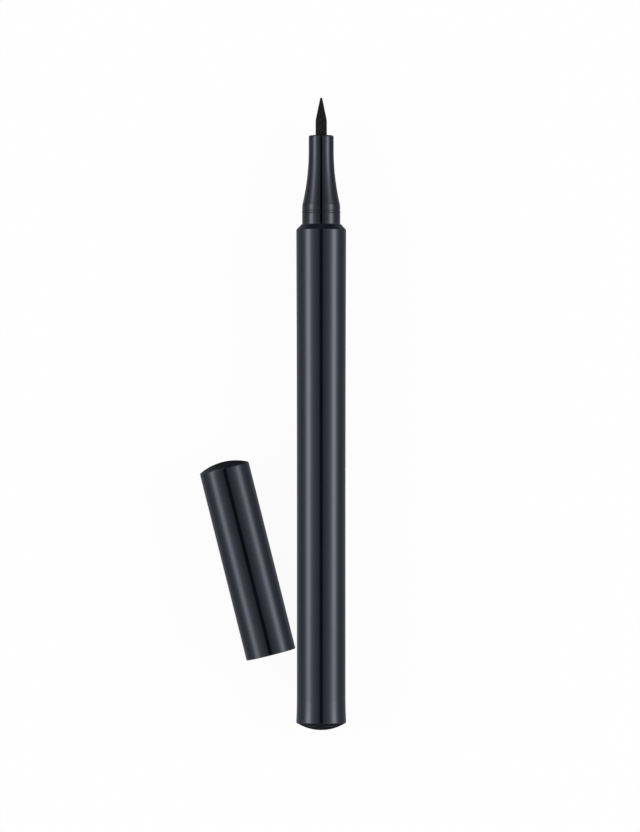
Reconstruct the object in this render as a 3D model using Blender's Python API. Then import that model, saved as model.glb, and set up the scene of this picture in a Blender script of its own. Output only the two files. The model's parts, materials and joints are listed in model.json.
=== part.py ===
"""Felt-tip liquid eyeliner pen with its cap taken off, built from its separate pieces.

Units are metres and +Z is up. The pen lies on the ground along +Y with its nib towards +Y. Its
pulled-off cap lies beside it on the -X side, turned in plan by CAP_TILT. Every piece is turned
about the pen's or the cap's own axis. A station is a length along that axis: on the pen from the
apex of the domed tail, on the cap from the plane of its mouth.
"""

import math

import bmesh
import bpy
from mathutils import Matrix

# Fits, shared by every piece
FIT_GAP = 0.00015
CUT_OVERRUN = 0.0003
MERGE_DISTANCE = 0.000001

# Turns of repeated features, as a share of their spacing
PHASE_SHARE = 0.5

# Facets
OUTER_SEGMENTS = 40
INNER_SEGMENTS = 32
NIB_SEGMENTS = 24
ARC_STEPS = 3
CURVE_STEPS = 6
SHARP_ANGLE = math.radians(30)

# Barrel
BARREL_LENGTH = 0.1029
BARREL_END_RADIUS = 0.00507
BARREL_WAIST_RADIUS = 0.00494
TAIL_FLARE_LENGTH = 0.0124
FRONT_SWELL_LENGTH = 0.0620
TAIL_DOME_RADIUS = 0.0089
TAIL_RIM_FILLET = 0.00025
SHOULDER_LENGTH = 0.0011
SHOULDER_FILLET = 0.00015
MOUTH_LEDGE = 0.00014
RIB_COUNT = 6
RIB_HEIGHT = 0.0003
RIB_WIDTH = 0.0006
RIB_END_CLEARANCE = 0.0010

# Snap rings that hold the front section and the tail plug in the barrel
SNAP_HEIGHT = 0.00025
SNAP_WIDTH = 0.0010
SNAP_CREST_SHARE = 0.4

# Front section: neck, flare, collar with its click bead, and the spigot in the barrel
COLLAR_RADIUS = 0.00387
COLLAR_LENGTH = 0.0037
COLLAR_SEAT = 0.000225
COLLAR_EDGE_FILLET = 0.0001
BEAD_DISTANCE = 0.0026
BEAD_WIDTH = 0.0003
BEAD_HEIGHT = 0.00004
BEAD_CREST_SHARE = 0.5
BEAD_GROOVE_WIDTH = 0.0002
BEAD_GROOVE_DEPTH = 0.00006
FLARE_STEP = 0.00004
FLARE_LENGTH = 0.0114
NECK_LENGTH = 0.0030
NECK_WALL = 0.00064
NOSE_FILLET = 0.00028
NOSE_LAND = 0.0022
INNER_CONE_LENGTH = 0.0053
SPIGOT_LENGTH = 0.0080
SPIGOT_WALL = 0.0008
SPIGOT_SNAP_DISTANCE = 0.0040
SPIGOT_SLOT_COUNT = 4
SPIGOT_SLOT_WIDTH = 0.0010
SPIGOT_SLOT_LENGTH = 0.0020

# Nib holder, the tube that grips the nib inside the neck
HOLDER_WALL = 0.00045
HOLDER_INSET = 0.0030
HOLDER_FLANGE = 0.0008
HOLDER_NOTCH_COUNT = 4
HOLDER_NOTCH_WIDTH = 0.0008

# Felt nib
NIB_RADIUS = 0.00115
NIB_REACH = 0.0077
NIB_POINT_LENGTH = 0.00463
NIB_TIP_RADIUS = 0.00019
NIB_SHOULDER_FILLET = 0.0045
NIB_PIERCE = 0.0050
NIB_TAIL_FILLET = 0.0003

# Tail plug
PLUG_SEAT = 0.00025
PLUG_EDGE_FILLET = 0.0001
PLUG_HEAD_LENGTH = 0.0022
PLUG_LENGTH = 0.0078
PLUG_FLOOR = 0.0014
PLUG_WALL = 0.0008
PLUG_SNAP_DISTANCE = 0.0022
PLUG_PLATE_COUNT = 2
PLUG_PLATE_WIDTH = 0.0006
PLUG_SLOT_WIDTH = 0.0010
PLUG_SLOT_LENGTH = 0.0020

# Fibre reservoir and its film sleeve
FILM_WALL = 0.0002
FILM_SLIT = 0.0006
FILM_SETBACK = 0.0010

# Cap shell
CAP_PROUD = 0.00005
CAP_LENGTH = 0.0404
CAP_DOME_RADIUS = 0.0112
CAP_CORNER_FILLET = 0.0005
CAP_END_WALL = 0.0009
CAP_COLLAR_CLEARANCE = 0.000335
CAP_RIM_CHAMFER = 0.00025
CAP_RIM_FILLET = 0.00015
CLICK_CLEARANCE = 0.00002
CLICK_WIDTH = 0.0006
CLICK_CREST_SHARE = 0.4
LINER_RIB_COUNT = 6
LINER_RIB_HEIGHT = 0.0003
LINER_RIB_WIDTH = 0.0007

# Inner cap, the liner that seals round the neck
LINER_NECK_CLEARANCE = 0.00035
LINER_COVER = 0.0027
LINER_LIP_WIDTH = 0.0008
LINER_LIP_CREST_SHARE = 0.4
LINER_TIP_ROOM = 0.0015
LINER_FLOOR = 0.0008
LINER_MOUTH_FILLET = 0.0002

# Where the cap lies beside the pen
CAP_TILT = math.radians(14.09)
CAP_MOUTH_STATION = 0.01538
CAP_SIDE_GAP = 0.0003

# Stations along the pen
MOUTH_STATION = BARREL_LENGTH
SHOULDER_STATION = MOUTH_STATION - SHOULDER_LENGTH
BEAD_STATION = MOUTH_STATION + BEAD_DISTANCE
FLARE_FOOT_STATION = MOUTH_STATION + COLLAR_LENGTH
FLARE_TOP_STATION = FLARE_FOOT_STATION + FLARE_LENGTH
NOSE_STATION = FLARE_TOP_STATION + NECK_LENGTH
NIB_TIP_STATION = NOSE_STATION + NIB_REACH
SPIGOT_END_STATION = MOUTH_STATION - SPIGOT_LENGTH
RESERVOIR_FRONT_STATION = SPIGOT_END_STATION - FIT_GAP
RESERVOIR_TAIL_STATION = PLUG_LENGTH + FIT_GAP
NIB_TAIL_STATION = RESERVOIR_FRONT_STATION - NIB_PIERCE

# Radii that follow from the collar, from outside to inside
MOUTH_FACE_RADIUS = COLLAR_RADIUS + MOUTH_LEDGE
BORE_RADIUS = COLLAR_RADIUS - COLLAR_SEAT
SPIGOT_RADIUS = BORE_RADIUS - FIT_GAP
SPIGOT_BORE_RADIUS = SPIGOT_RADIUS - SPIGOT_WALL
PLUG_HEAD_RADIUS = BORE_RADIUS + PLUG_SEAT
PLUG_BORE_RADIUS = SPIGOT_RADIUS - PLUG_WALL
FILM_RADIUS = BORE_RADIUS - RIB_HEIGHT - FIT_GAP
CORE_RADIUS = FILM_RADIUS - FILM_WALL - FIT_GAP

# Radii that follow from the nib, from inside to outside
NIB_BORE_RADIUS = NIB_RADIUS + FIT_GAP
HOLDER_RADIUS = NIB_BORE_RADIUS + HOLDER_WALL
NECK_BORE_RADIUS = HOLDER_RADIUS + FIT_GAP
NECK_RADIUS = NECK_BORE_RADIUS + NECK_WALL

# Cap sizes that follow from the pen it closes
CAP_RADIUS = BARREL_END_RADIUS + CAP_PROUD
CAP_BORE_RADIUS = COLLAR_RADIUS + CAP_COLLAR_CLEARANCE
CLICK_RADIUS = COLLAR_RADIUS + CLICK_CLEARANCE
LINER_RADIUS = CAP_BORE_RADIUS - LINER_RIB_HEIGHT - FIT_GAP
LINER_BORE_RADIUS = NECK_RADIUS + LINER_NECK_CLEARANCE
SHOULDER_SLOPE = SHOULDER_LENGTH / (BARREL_END_RADIUS - MOUTH_FACE_RADIUS)
RIM_INNER_RADIUS = CAP_BORE_RADIUS + CAP_RIM_CHAMFER
CAP_ON_STATION = MOUTH_STATION + FIT_GAP - (RIM_INNER_RADIUS - MOUTH_FACE_RADIUS) * SHOULDER_SLOPE
LINER_MOUTH_STATION = FLARE_TOP_STATION - LINER_COVER - CAP_ON_STATION
LINER_LIP_STATION = FLARE_TOP_STATION + NECK_LENGTH / 2 - CAP_ON_STATION
LINER_TIP_STATION = NIB_TIP_STATION + LINER_TIP_ROOM - CAP_ON_STATION


def clear_scene():
    """Remove whatever objects the file opened with."""
    for item in list(bpy.data.objects):
        bpy.data.objects.remove(item, do_unlink=True)


def make_material(name, colour, roughness, metallic=0.0):
    """A Principled material with one colour and one finish."""
    material = bpy.data.materials.new(name)
    material.use_nodes = True
    shader = material.node_tree.nodes["Principled BSDF"]
    shader.inputs["Base Color"].default_value = (*colour, 1.0)
    shader.inputs["Roughness"].default_value = roughness
    shader.inputs["Metallic"].default_value = metallic
    return material


def make_empty(name, location, rotation):
    """An empty whose local Z axis is the axis that pieces are turned about."""
    empty = bpy.data.objects.new(name, None)
    empty.location = location
    empty.rotation_euler = rotation
    bpy.context.collection.objects.link(empty)
    return empty


def make_object(name, bm, parent, material=None):
    """Put a finished bmesh into a named object under its axis empty."""
    bmesh.ops.recalc_face_normals(bm, faces=bm.faces)
    mesh = bpy.data.meshes.new(name)
    bm.to_mesh(mesh)
    bm.free()
    item = bpy.data.objects.new(name, mesh)
    item.parent = parent
    bpy.context.collection.objects.link(item)
    if material:
        mesh.materials.append(material)
        mesh.shade_smooth()
        mesh.set_sharp_from_angle(angle=SHARP_ANGLE)
    return item


def rounded(corners, closed):
    """Outline points, with an arc at each corner that carries a fillet radius.

    A corner is (radius, station) or (radius, station, fillet). The arc touches both edges of
    its corner, and takes at most half of the shorter one.
    """
    points = []
    for index, (x, y, *fillet) in enumerate(corners):
        at_end = not closed and index in (0, len(corners) - 1)
        if not fillet or at_end:
            points.append((x, y))
            continue
        back_x, back_y = corners[index - 1][0] - x, corners[index - 1][1] - y
        ahead = corners[(index + 1) % len(corners)]
        ahead_x, ahead_y = ahead[0] - x, ahead[1] - y
        back_length = math.hypot(back_x, back_y)
        ahead_length = math.hypot(ahead_x, ahead_y)
        cosine = (back_x * ahead_x + back_y * ahead_y) / (back_length * ahead_length)
        half_angle = math.acos(max(-1, min(1, cosine))) / 2
        reach = min(fillet[0] / math.tan(half_angle), back_length / 2, ahead_length / 2)
        start_x, start_y = x + back_x * reach / back_length, y + back_y * reach / back_length
        end_x, end_y = x + ahead_x * reach / ahead_length, y + ahead_y * reach / ahead_length
        middle_share = 1 / math.cos(half_angle) ** 2
        centre_x = x + ((start_x + end_x) / 2 - x) * middle_share
        centre_y = y + ((start_y + end_y) / 2 - y) * middle_share
        first = math.atan2(start_y - centre_y, start_x - centre_x)
        sweep = math.remainder(math.atan2(end_y - centre_y, end_x - centre_x) - first, math.tau)
        arc_radius = math.hypot(start_x - centre_x, start_y - centre_y)
        for step in range(ARC_STEPS + 1):
            angle = first + sweep * step / ARC_STEPS
            points.append((
                centre_x + arc_radius * math.cos(angle), centre_y + arc_radius * math.sin(angle)))
    return points


def turned(corners, segments):
    """Revolve an outline a full turn about Z. One that begins and ends on the axis is solid."""
    solid = corners[0][0] == 0 and corners[-1][0] == 0
    outline = rounded(corners, closed=not solid)
    bm = bmesh.new()
    verts = [bm.verts.new((radius, 0, station)) for radius, station in outline]
    ends = verts[1:] if solid else verts[1:] + verts[:1]
    edges = [bm.edges.new(pair) for pair in zip(verts, ends)]
    bmesh.ops.spin(bm, geom=verts + edges, axis=(0, 0, 1), angle=math.tau, steps=segments, use_merge=True)
    bmesh.ops.remove_doubles(bm, verts=bm.verts, dist=MERGE_DISTANCE)
    return bm


def radial_bars(name, parent, count, inner, outer, width, low, high, phase=0.0):
    """Hidden bars that stand out from the axis, spaced evenly, for a Boolean to add or cut."""
    bm = bmesh.new()
    for index in range(count):
        size = Matrix.Diagonal((outer - inner, width, high - low, 1))
        place = Matrix.Translation(((outer + inner) / 2, 0, (high + low) / 2))
        turn = Matrix.Rotation(phase + math.tau * index / count, 4, "Z")
        bmesh.ops.create_cube(bm, size=1, matrix=turn @ place @ size)
    bars = make_object(name, bm, parent)
    bars.hide_render = True
    bars.display_type = "WIRE"
    return bars


def combine(piece, tool, operation):
    """Join a hidden tool to a piece, or cut it away, with an exact Boolean."""
    modifier = piece.modifiers.new(tool.name, "BOOLEAN")
    modifier.operation = operation
    modifier.solver = "EXACT"
    modifier.object = tool


def snap_ring(radius, height, width, centre, crest_share):
    """Four corners of a ring raised by height, in falling stations."""
    foot = width / 2
    crest = foot * crest_share
    return [
        (radius, centre + foot),
        (radius + height, centre + crest),
        (radius + height, centre - crest),
        (radius, centre - foot),
    ]


def domed_end(dome_radius, wall_radius, fillet, start_radius):
    """(radius, depth) points along a spherical end and over its filleted edge to the wall.

    Depth is measured from the apex of the dome, and the last point lies on the wall.
    """
    edge_radius = wall_radius - fillet
    edge_depth = dome_radius - math.sqrt((dome_radius - fillet) ** 2 - edge_radius ** 2)
    first = math.asin(start_radius / dome_radius)
    touch = math.asin(edge_radius / (dome_radius - fillet))
    points = []
    for step in range(CURVE_STEPS):
        angle = first + (touch - first) * step / CURVE_STEPS
        points.append((dome_radius * math.sin(angle), dome_radius * (1 - math.cos(angle))))
    for step in range(ARC_STEPS + 1):
        angle = touch + (math.pi / 2 - touch) * step / ARC_STEPS
        points.append((edge_radius + fillet * math.sin(angle), edge_depth - fillet * math.cos(angle)))
    return points


def tail_wall_station():
    """Station at which the barrel's rounded tail edge runs into its side."""
    return domed_end(TAIL_DOME_RADIUS, BARREL_END_RADIUS, TAIL_RIM_FILLET, BORE_RADIUS)[-1][1]


def barrel_radius(station):
    """Outside of the barrel: full at both ends, drawn in by two parabolas to a long waist."""
    tail_share = 1 - (station - tail_wall_station()) / TAIL_FLARE_LENGTH
    front_share = 1 - (SHOULDER_STATION - station) / FRONT_SWELL_LENGTH
    fullness = max(tail_share, front_share, 0) ** 2
    return BARREL_WAIST_RADIUS + (BARREL_END_RADIUS - BARREL_WAIST_RADIUS) * fullness


def neck_radius(station):
    """Outside of the front section: a straight neck that flares by a parabola to the collar."""
    share = max(FLARE_TOP_STATION - station, 0) / FLARE_LENGTH
    return NECK_RADIUS + (COLLAR_RADIUS - FLARE_STEP - NECK_RADIUS) * share ** 2


def build_barrel(pen, material):
    """Waisted tube with a rounded tail rim, a chamfered shoulder, snap grooves and inner ribs."""
    seat_radius = PLUG_HEAD_RADIUS + FIT_GAP
    tail = domed_end(TAIL_DOME_RADIUS, BARREL_END_RADIUS, TAIL_RIM_FILLET, seat_radius)
    flare = [
        tail_wall_station() + TAIL_FLARE_LENGTH * step / CURVE_STEPS
        for step in range(1, CURVE_STEPS + 1)]
    swell = [
        SHOULDER_STATION - FRONT_SWELL_LENGTH * step / CURVE_STEPS
        for step in range(CURVE_STEPS, 0, -1)]
    side = [(barrel_radius(station), station) for station in flare + swell]
    groove_width = SNAP_WIDTH + 2 * FIT_GAP
    front_groove = MOUTH_STATION - SPIGOT_SNAP_DISTANCE
    tail_groove = PLUG_HEAD_LENGTH + PLUG_SNAP_DISTANCE
    outline = [
        *tail,
        *side,
        (BARREL_END_RADIUS, SHOULDER_STATION, SHOULDER_FILLET),
        (MOUTH_FACE_RADIUS, MOUTH_STATION),
        (BORE_RADIUS, MOUTH_STATION),
        *snap_ring(BORE_RADIUS, SNAP_HEIGHT, groove_width, front_groove, SNAP_CREST_SHARE),
        *snap_ring(BORE_RADIUS, SNAP_HEIGHT, groove_width, tail_groove, SNAP_CREST_SHARE),
        (BORE_RADIUS, PLUG_HEAD_LENGTH + FIT_GAP),
        (seat_radius, PLUG_HEAD_LENGTH + FIT_GAP),
    ]
    barrel = make_object("barrel", turned(outline, OUTER_SEGMENTS), pen, material)
    ribs = radial_bars(
        "barrel_ribs", pen, RIB_COUNT,
        BORE_RADIUS - RIB_HEIGHT, BORE_RADIUS + CUT_OVERRUN, RIB_WIDTH,
        PLUG_LENGTH + RIB_END_CLEARANCE, SPIGOT_END_STATION - RIB_END_CLEARANCE)
    combine(barrel, ribs, "UNION")
    return barrel


def build_tail_plug(pen, material):
    """Domed plug with a hollow snap-in spigot, whose web holds the reservoir's end."""
    dome = domed_end(TAIL_DOME_RADIUS, PLUG_HEAD_RADIUS, PLUG_EDGE_FILLET, 0)
    snap = snap_ring(SPIGOT_RADIUS, SNAP_HEIGHT, SNAP_WIDTH, PLUG_HEAD_LENGTH + PLUG_SNAP_DISTANCE,
                     SNAP_CREST_SHARE)
    outline = [
        *dome,
        (PLUG_HEAD_RADIUS, PLUG_HEAD_LENGTH),
        (SPIGOT_RADIUS, PLUG_HEAD_LENGTH),
        *reversed(snap),
        (SPIGOT_RADIUS, PLUG_LENGTH),
        (PLUG_BORE_RADIUS, PLUG_LENGTH),
        (PLUG_BORE_RADIUS, PLUG_FLOOR),
        (0, PLUG_FLOOR),
    ]
    plug = make_object("tail_plug", turned(outline, INNER_SEGMENTS), pen, material)
    for index in range(PLUG_PLATE_COUNT):
        plate = radial_bars(
            f"tail_plug_plate_{index + 1}", pen, 1,
            -PLUG_BORE_RADIUS - CUT_OVERRUN, PLUG_BORE_RADIUS + CUT_OVERRUN, PLUG_PLATE_WIDTH,
            PLUG_FLOOR - CUT_OVERRUN, PLUG_LENGTH, math.pi * (index + PHASE_SHARE) / PLUG_PLATE_COUNT)
        combine(plug, plate, "UNION")
    slots = radial_bars(
        "tail_plug_slots", pen, 2 * PLUG_PLATE_COUNT,
        PLUG_BORE_RADIUS - CUT_OVERRUN, SPIGOT_RADIUS + CUT_OVERRUN, PLUG_SLOT_WIDTH,
        PLUG_LENGTH - PLUG_SLOT_LENGTH, PLUG_LENGTH + CUT_OVERRUN)
    combine(plug, slots, "DIFFERENCE")
    return plug


def build_front_section(pen, material):
    """Neck, flare, collar with its click bead, and the slotted spigot that snaps into the barrel."""
    flare = []
    for step in range(CURVE_STEPS + 1):
        station = FLARE_TOP_STATION - FLARE_LENGTH * step / CURVE_STEPS
        flare.append((neck_radius(station), station))
    crest = snap_ring(COLLAR_RADIUS, BEAD_HEIGHT, BEAD_WIDTH, BEAD_STATION, BEAD_CREST_SHARE)[1:3]
    groove_offset = (BEAD_WIDTH + BEAD_GROOVE_WIDTH) / 2
    groove_edge = groove_offset + BEAD_GROOVE_WIDTH / 2
    groove_radius = COLLAR_RADIUS - BEAD_GROOVE_DEPTH
    underside = MOUTH_STATION + FIT_GAP
    snap = snap_ring(SPIGOT_RADIUS, SNAP_HEIGHT, SNAP_WIDTH, MOUTH_STATION - SPIGOT_SNAP_DISTANCE,
                     SNAP_CREST_SHARE)
    outline = [
        (NIB_BORE_RADIUS, NOSE_STATION),
        (NECK_RADIUS, NOSE_STATION, NOSE_FILLET),
        *flare,
        (COLLAR_RADIUS, BEAD_STATION + groove_edge),
        (groove_radius, BEAD_STATION + groove_offset),
        *crest,
        (groove_radius, BEAD_STATION - groove_offset),
        (COLLAR_RADIUS, BEAD_STATION - groove_edge),
        (COLLAR_RADIUS, underside, COLLAR_EDGE_FILLET),
        (SPIGOT_RADIUS, underside),
        *snap,
        (SPIGOT_RADIUS, SPIGOT_END_STATION),
        (SPIGOT_BORE_RADIUS, SPIGOT_END_STATION),
        (SPIGOT_BORE_RADIUS, FLARE_FOOT_STATION),
        (NECK_BORE_RADIUS, FLARE_FOOT_STATION + INNER_CONE_LENGTH),
        (NECK_BORE_RADIUS, NOSE_STATION - NOSE_LAND),
        (NIB_BORE_RADIUS, NOSE_STATION - NOSE_LAND),
    ]
    section = make_object("front_section", turned(outline, OUTER_SEGMENTS), pen, material)
    slots = radial_bars(
        "front_section_slots", pen, SPIGOT_SLOT_COUNT,
        SPIGOT_BORE_RADIUS - CUT_OVERRUN, SPIGOT_RADIUS + CUT_OVERRUN, SPIGOT_SLOT_WIDTH,
        SPIGOT_END_STATION - CUT_OVERRUN, SPIGOT_END_STATION + SPIGOT_SLOT_LENGTH)
    combine(section, slots, "DIFFERENCE")
    return section


def build_nib_holder(pen, material):
    """Tube round the nib, stopped by the nose, with a notched flange that centres its tail."""
    front = NOSE_STATION - NOSE_LAND - FIT_GAP
    tail = SPIGOT_END_STATION + HOLDER_INSET
    flange_radius = SPIGOT_BORE_RADIUS - FIT_GAP
    outline = [
        (NIB_BORE_RADIUS, front),
        (HOLDER_RADIUS, front),
        (HOLDER_RADIUS, tail + HOLDER_FLANGE),
        (flange_radius, tail + HOLDER_FLANGE),
        (flange_radius, tail),
        (NIB_BORE_RADIUS, tail),
    ]
    holder = make_object("nib_holder", turned(outline, INNER_SEGMENTS), pen, material)
    notches = radial_bars(
        "nib_holder_notches", pen, HOLDER_NOTCH_COUNT,
        HOLDER_RADIUS, flange_radius + CUT_OVERRUN, HOLDER_NOTCH_WIDTH,
        tail - CUT_OVERRUN, tail + HOLDER_FLANGE + CUT_OVERRUN, math.tau * PHASE_SHARE / HOLDER_NOTCH_COUNT)
    combine(holder, notches, "DIFFERENCE")
    return holder


def build_nib(pen, material):
    """Felt nib: a blunt tip, a straight taper that touches the tip's ball, and a long shank."""
    ball_station = NIB_TIP_STATION - NIB_TIP_RADIUS
    run = NIB_POINT_LENGTH - NIB_TIP_RADIUS
    half_angle = math.atan2(NIB_RADIUS, run) - math.asin(NIB_TIP_RADIUS / math.hypot(NIB_RADIUS, run))
    tip = [(0, NIB_TIP_STATION)]
    for step in range(1, ARC_STEPS + 1):
        angle = math.pi / 2 - (math.pi / 2 - half_angle) * step / ARC_STEPS
        tip.append((NIB_TIP_RADIUS * math.cos(angle), ball_station + NIB_TIP_RADIUS * math.sin(angle)))
    outline = [
        *tip,
        (NIB_RADIUS, NIB_TIP_STATION - NIB_POINT_LENGTH, NIB_SHOULDER_FILLET),
        (NIB_RADIUS, NIB_TAIL_STATION, NIB_TAIL_FILLET),
        (0, NIB_TAIL_STATION),
    ]
    return make_object("nib", turned(outline, NIB_SEGMENTS), pen, material)


def build_reservoir_core(pen, material):
    """Fibre rod that soaks up the liquid, with the hole that the nib's shank makes in it."""
    hole_end = NIB_TAIL_STATION - FIT_GAP
    outline = [
        (0, hole_end),
        (NIB_BORE_RADIUS, hole_end),
        (NIB_BORE_RADIUS, RESERVOIR_FRONT_STATION),
        (CORE_RADIUS, RESERVOIR_FRONT_STATION),
        (CORE_RADIUS, RESERVOIR_TAIL_STATION),
        (0, RESERVOIR_TAIL_STATION),
    ]
    return make_object("reservoir_core", turned(outline, INNER_SEGMENTS), pen, material)


def build_reservoir_film(pen, material):
    """Film sleeve rolled round the fibre rod, with the slit along it that lets air pass."""
    bore = FILM_RADIUS - FILM_WALL
    tail = RESERVOIR_TAIL_STATION + FILM_SETBACK
    front = RESERVOIR_FRONT_STATION - FILM_SETBACK
    slit_angle = FILM_SLIT / FILM_RADIUS
    outline = [(bore, tail), (FILM_RADIUS, tail), (FILM_RADIUS, front), (bore, front)]
    bm = bmesh.new()
    verts = [bm.verts.new((radius, 0, station)) for radius, station in outline]
    edges = [bm.edges.new(pair) for pair in zip(verts, verts[1:] + verts[:1])]
    bmesh.ops.rotate(bm, verts=verts, matrix=Matrix.Rotation(slit_angle / 2, 3, "Z"))
    bmesh.ops.spin(
        bm, geom=verts + edges, axis=(0, 0, 1), angle=math.tau - slit_angle, steps=INNER_SEGMENTS)
    rims = [edge for edge in bm.edges if edge.is_boundary]
    bmesh.ops.holes_fill(bm, edges=rims, sides=len(outline))
    return make_object("reservoir_film", bm, pen, material)


def build_cap_shell(cap, material):
    """Round cap with a domed end, a click ring inside its mouth and ribs that grip the liner."""
    crown = domed_end(CAP_DOME_RADIUS, CAP_RADIUS, CAP_CORNER_FILLET, 0)
    inner_dome_radius = CAP_DOME_RADIUS - CAP_END_WALL
    dome_centre = CAP_LENGTH - CAP_DOME_RADIUS
    inner_crown = []
    for step in range(CURVE_STEPS + 1):
        radius = CAP_BORE_RADIUS * (1 - step / CURVE_STEPS)
        inner_crown.append((radius, dome_centre + math.sqrt(inner_dome_radius ** 2 - radius ** 2)))
    click_station = BEAD_STATION - (BEAD_WIDTH + CLICK_WIDTH) / 2 - CAP_ON_STATION
    click = snap_ring(CAP_BORE_RADIUS, CLICK_RADIUS - CAP_BORE_RADIUS, CLICK_WIDTH, click_station,
                      CLICK_CREST_SHARE)
    outline = [
        *[(radius, CAP_LENGTH - depth) for radius, depth in crown],
        (CAP_RADIUS, 0, CAP_RIM_FILLET),
        (RIM_INNER_RADIUS, 0),
        (CAP_BORE_RADIUS, CAP_RIM_CHAMFER),
        *reversed(click),
        *inner_crown,
    ]
    shell = make_object("cap_shell", turned(outline, OUTER_SEGMENTS), cap, material)
    ribs_end = inner_crown[0][1]
    ribs = radial_bars(
        "cap_shell_ribs", cap, LINER_RIB_COUNT,
        CAP_BORE_RADIUS - LINER_RIB_HEIGHT, CAP_BORE_RADIUS + CUT_OVERRUN, LINER_RIB_WIDTH,
        LINER_MOUTH_STATION, ribs_end)
    combine(shell, ribs, "UNION")
    return shell


def build_cap_liner(cap, material):
    """Inner cap: a cup with a sealing lip for the neck, carried on a skirt from the domed end."""
    inner_dome_radius = CAP_DOME_RADIUS - CAP_END_WALL
    crown_station = CAP_LENGTH - CAP_DOME_RADIUS + math.sqrt(inner_dome_radius ** 2 - LINER_RADIUS ** 2)
    skirt_end = crown_station - FIT_GAP
    floor_back = LINER_TIP_STATION + LINER_FLOOR
    lip_height = NECK_RADIUS + CLICK_CLEARANCE - LINER_BORE_RADIUS
    lip = snap_ring(
        LINER_BORE_RADIUS, lip_height, LINER_LIP_WIDTH, LINER_LIP_STATION, LINER_LIP_CREST_SHARE)
    outline = [
        (0, floor_back),
        (LINER_BORE_RADIUS, floor_back),
        (LINER_BORE_RADIUS, skirt_end),
        (LINER_RADIUS, skirt_end),
        (LINER_RADIUS, LINER_MOUTH_STATION, LINER_MOUTH_FILLET),
        (LINER_BORE_RADIUS, LINER_MOUTH_STATION, LINER_MOUTH_FILLET),
        *reversed(lip),
        (LINER_BORE_RADIUS, LINER_TIP_STATION),
        (0, LINER_TIP_STATION),
    ]
    return make_object("cap_liner", turned(outline, INNER_SEGMENTS), cap, material)


def cap_offset():
    """Distance in plan from the pen's axis to the centre of the cap's mouth.

    The right-hand corner of the tilted mouth is the cap's nearest point to the barrel.
    """
    corner_station = CAP_MOUTH_STATION + CAP_RADIUS * math.sin(CAP_TILT)
    return barrel_radius(corner_station) + CAP_SIDE_GAP + CAP_RADIUS * math.cos(CAP_TILT)


def pen_position():
    """Where the tail's apex lies, so that the object is centred over the origin.

    The cap reaches furthest from the pen at the rounded corner of its domed end.
    """
    crown_depth = domed_end(CAP_DOME_RADIUS, CAP_RADIUS, CAP_CORNER_FILLET, 0)[-1][1]
    cap_reach = (CAP_LENGTH - crown_depth) * math.sin(CAP_TILT) + CAP_CORNER_FILLET
    cap_reach += (CAP_RADIUS - CAP_CORNER_FILLET) * math.cos(CAP_TILT)
    across = (cap_offset() + cap_reach - BARREL_END_RADIUS) / 2
    return (across, -NIB_TIP_STATION / 2, BARREL_END_RADIUS)


def main():
    clear_scene()

    gloss_black = make_material("gloss_black", (0.0035, 0.0040, 0.0060), 0.20)
    cap_black = make_material("cap_black", (0.0035, 0.0040, 0.0055), 0.22)
    plug_black = make_material("plug_black", (0.0030, 0.0030, 0.0036), 0.26)
    neck_black = make_material("neck_black", (0.0035, 0.0038, 0.0050), 0.20)
    felt_black = make_material("felt_black", (0.0090, 0.0090, 0.0100), 0.95)
    fibre = make_material("fibre", (0.030, 0.030, 0.034), 0.90)
    film = make_material("film", (0.720, 0.730, 0.750), 0.35)
    natural_white = make_material("natural_white", (0.780, 0.770, 0.740), 0.45)
    liner_grey = make_material("liner_grey", (0.180, 0.180, 0.190), 0.45)

    upright_to_forward = -math.pi / 2
    pen_x, pen_y, pen_z = pen_position()
    pen = make_empty("pen_axis", (pen_x, pen_y, pen_z), (upright_to_forward, 0, 0))
    cap_place = (pen_x - cap_offset(), pen_y + CAP_MOUTH_STATION, CAP_RADIUS)
    cap = make_empty("cap_axis", cap_place, (upright_to_forward, 0, CAP_TILT))

    build_barrel(pen, gloss_black)
    build_tail_plug(pen, plug_black)
    build_front_section(pen, neck_black)
    build_nib_holder(pen, natural_white)
    build_nib(pen, felt_black)
    build_reservoir_core(pen, fibre)
    build_reservoir_film(pen, film)
    build_cap_shell(cap, cap_black)
    build_cap_liner(cap, liner_grey)


if __name__ == "__main__":
    main()
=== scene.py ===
"""Surfaces, finishes and studio for a felt-tip eyeliner pen that lies beside its pulled-off cap.

Units are metres and +Z is up. Every shown piece is a profile turned about the axis of the pen or
of the cap. A profile is a run of (radius, station) points, and a station is a length along the
axis: from the apex of the domed tail on the pen, and from the plane of the mouth on the cap.
"""

import json
import math
from collections import namedtuple

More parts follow.
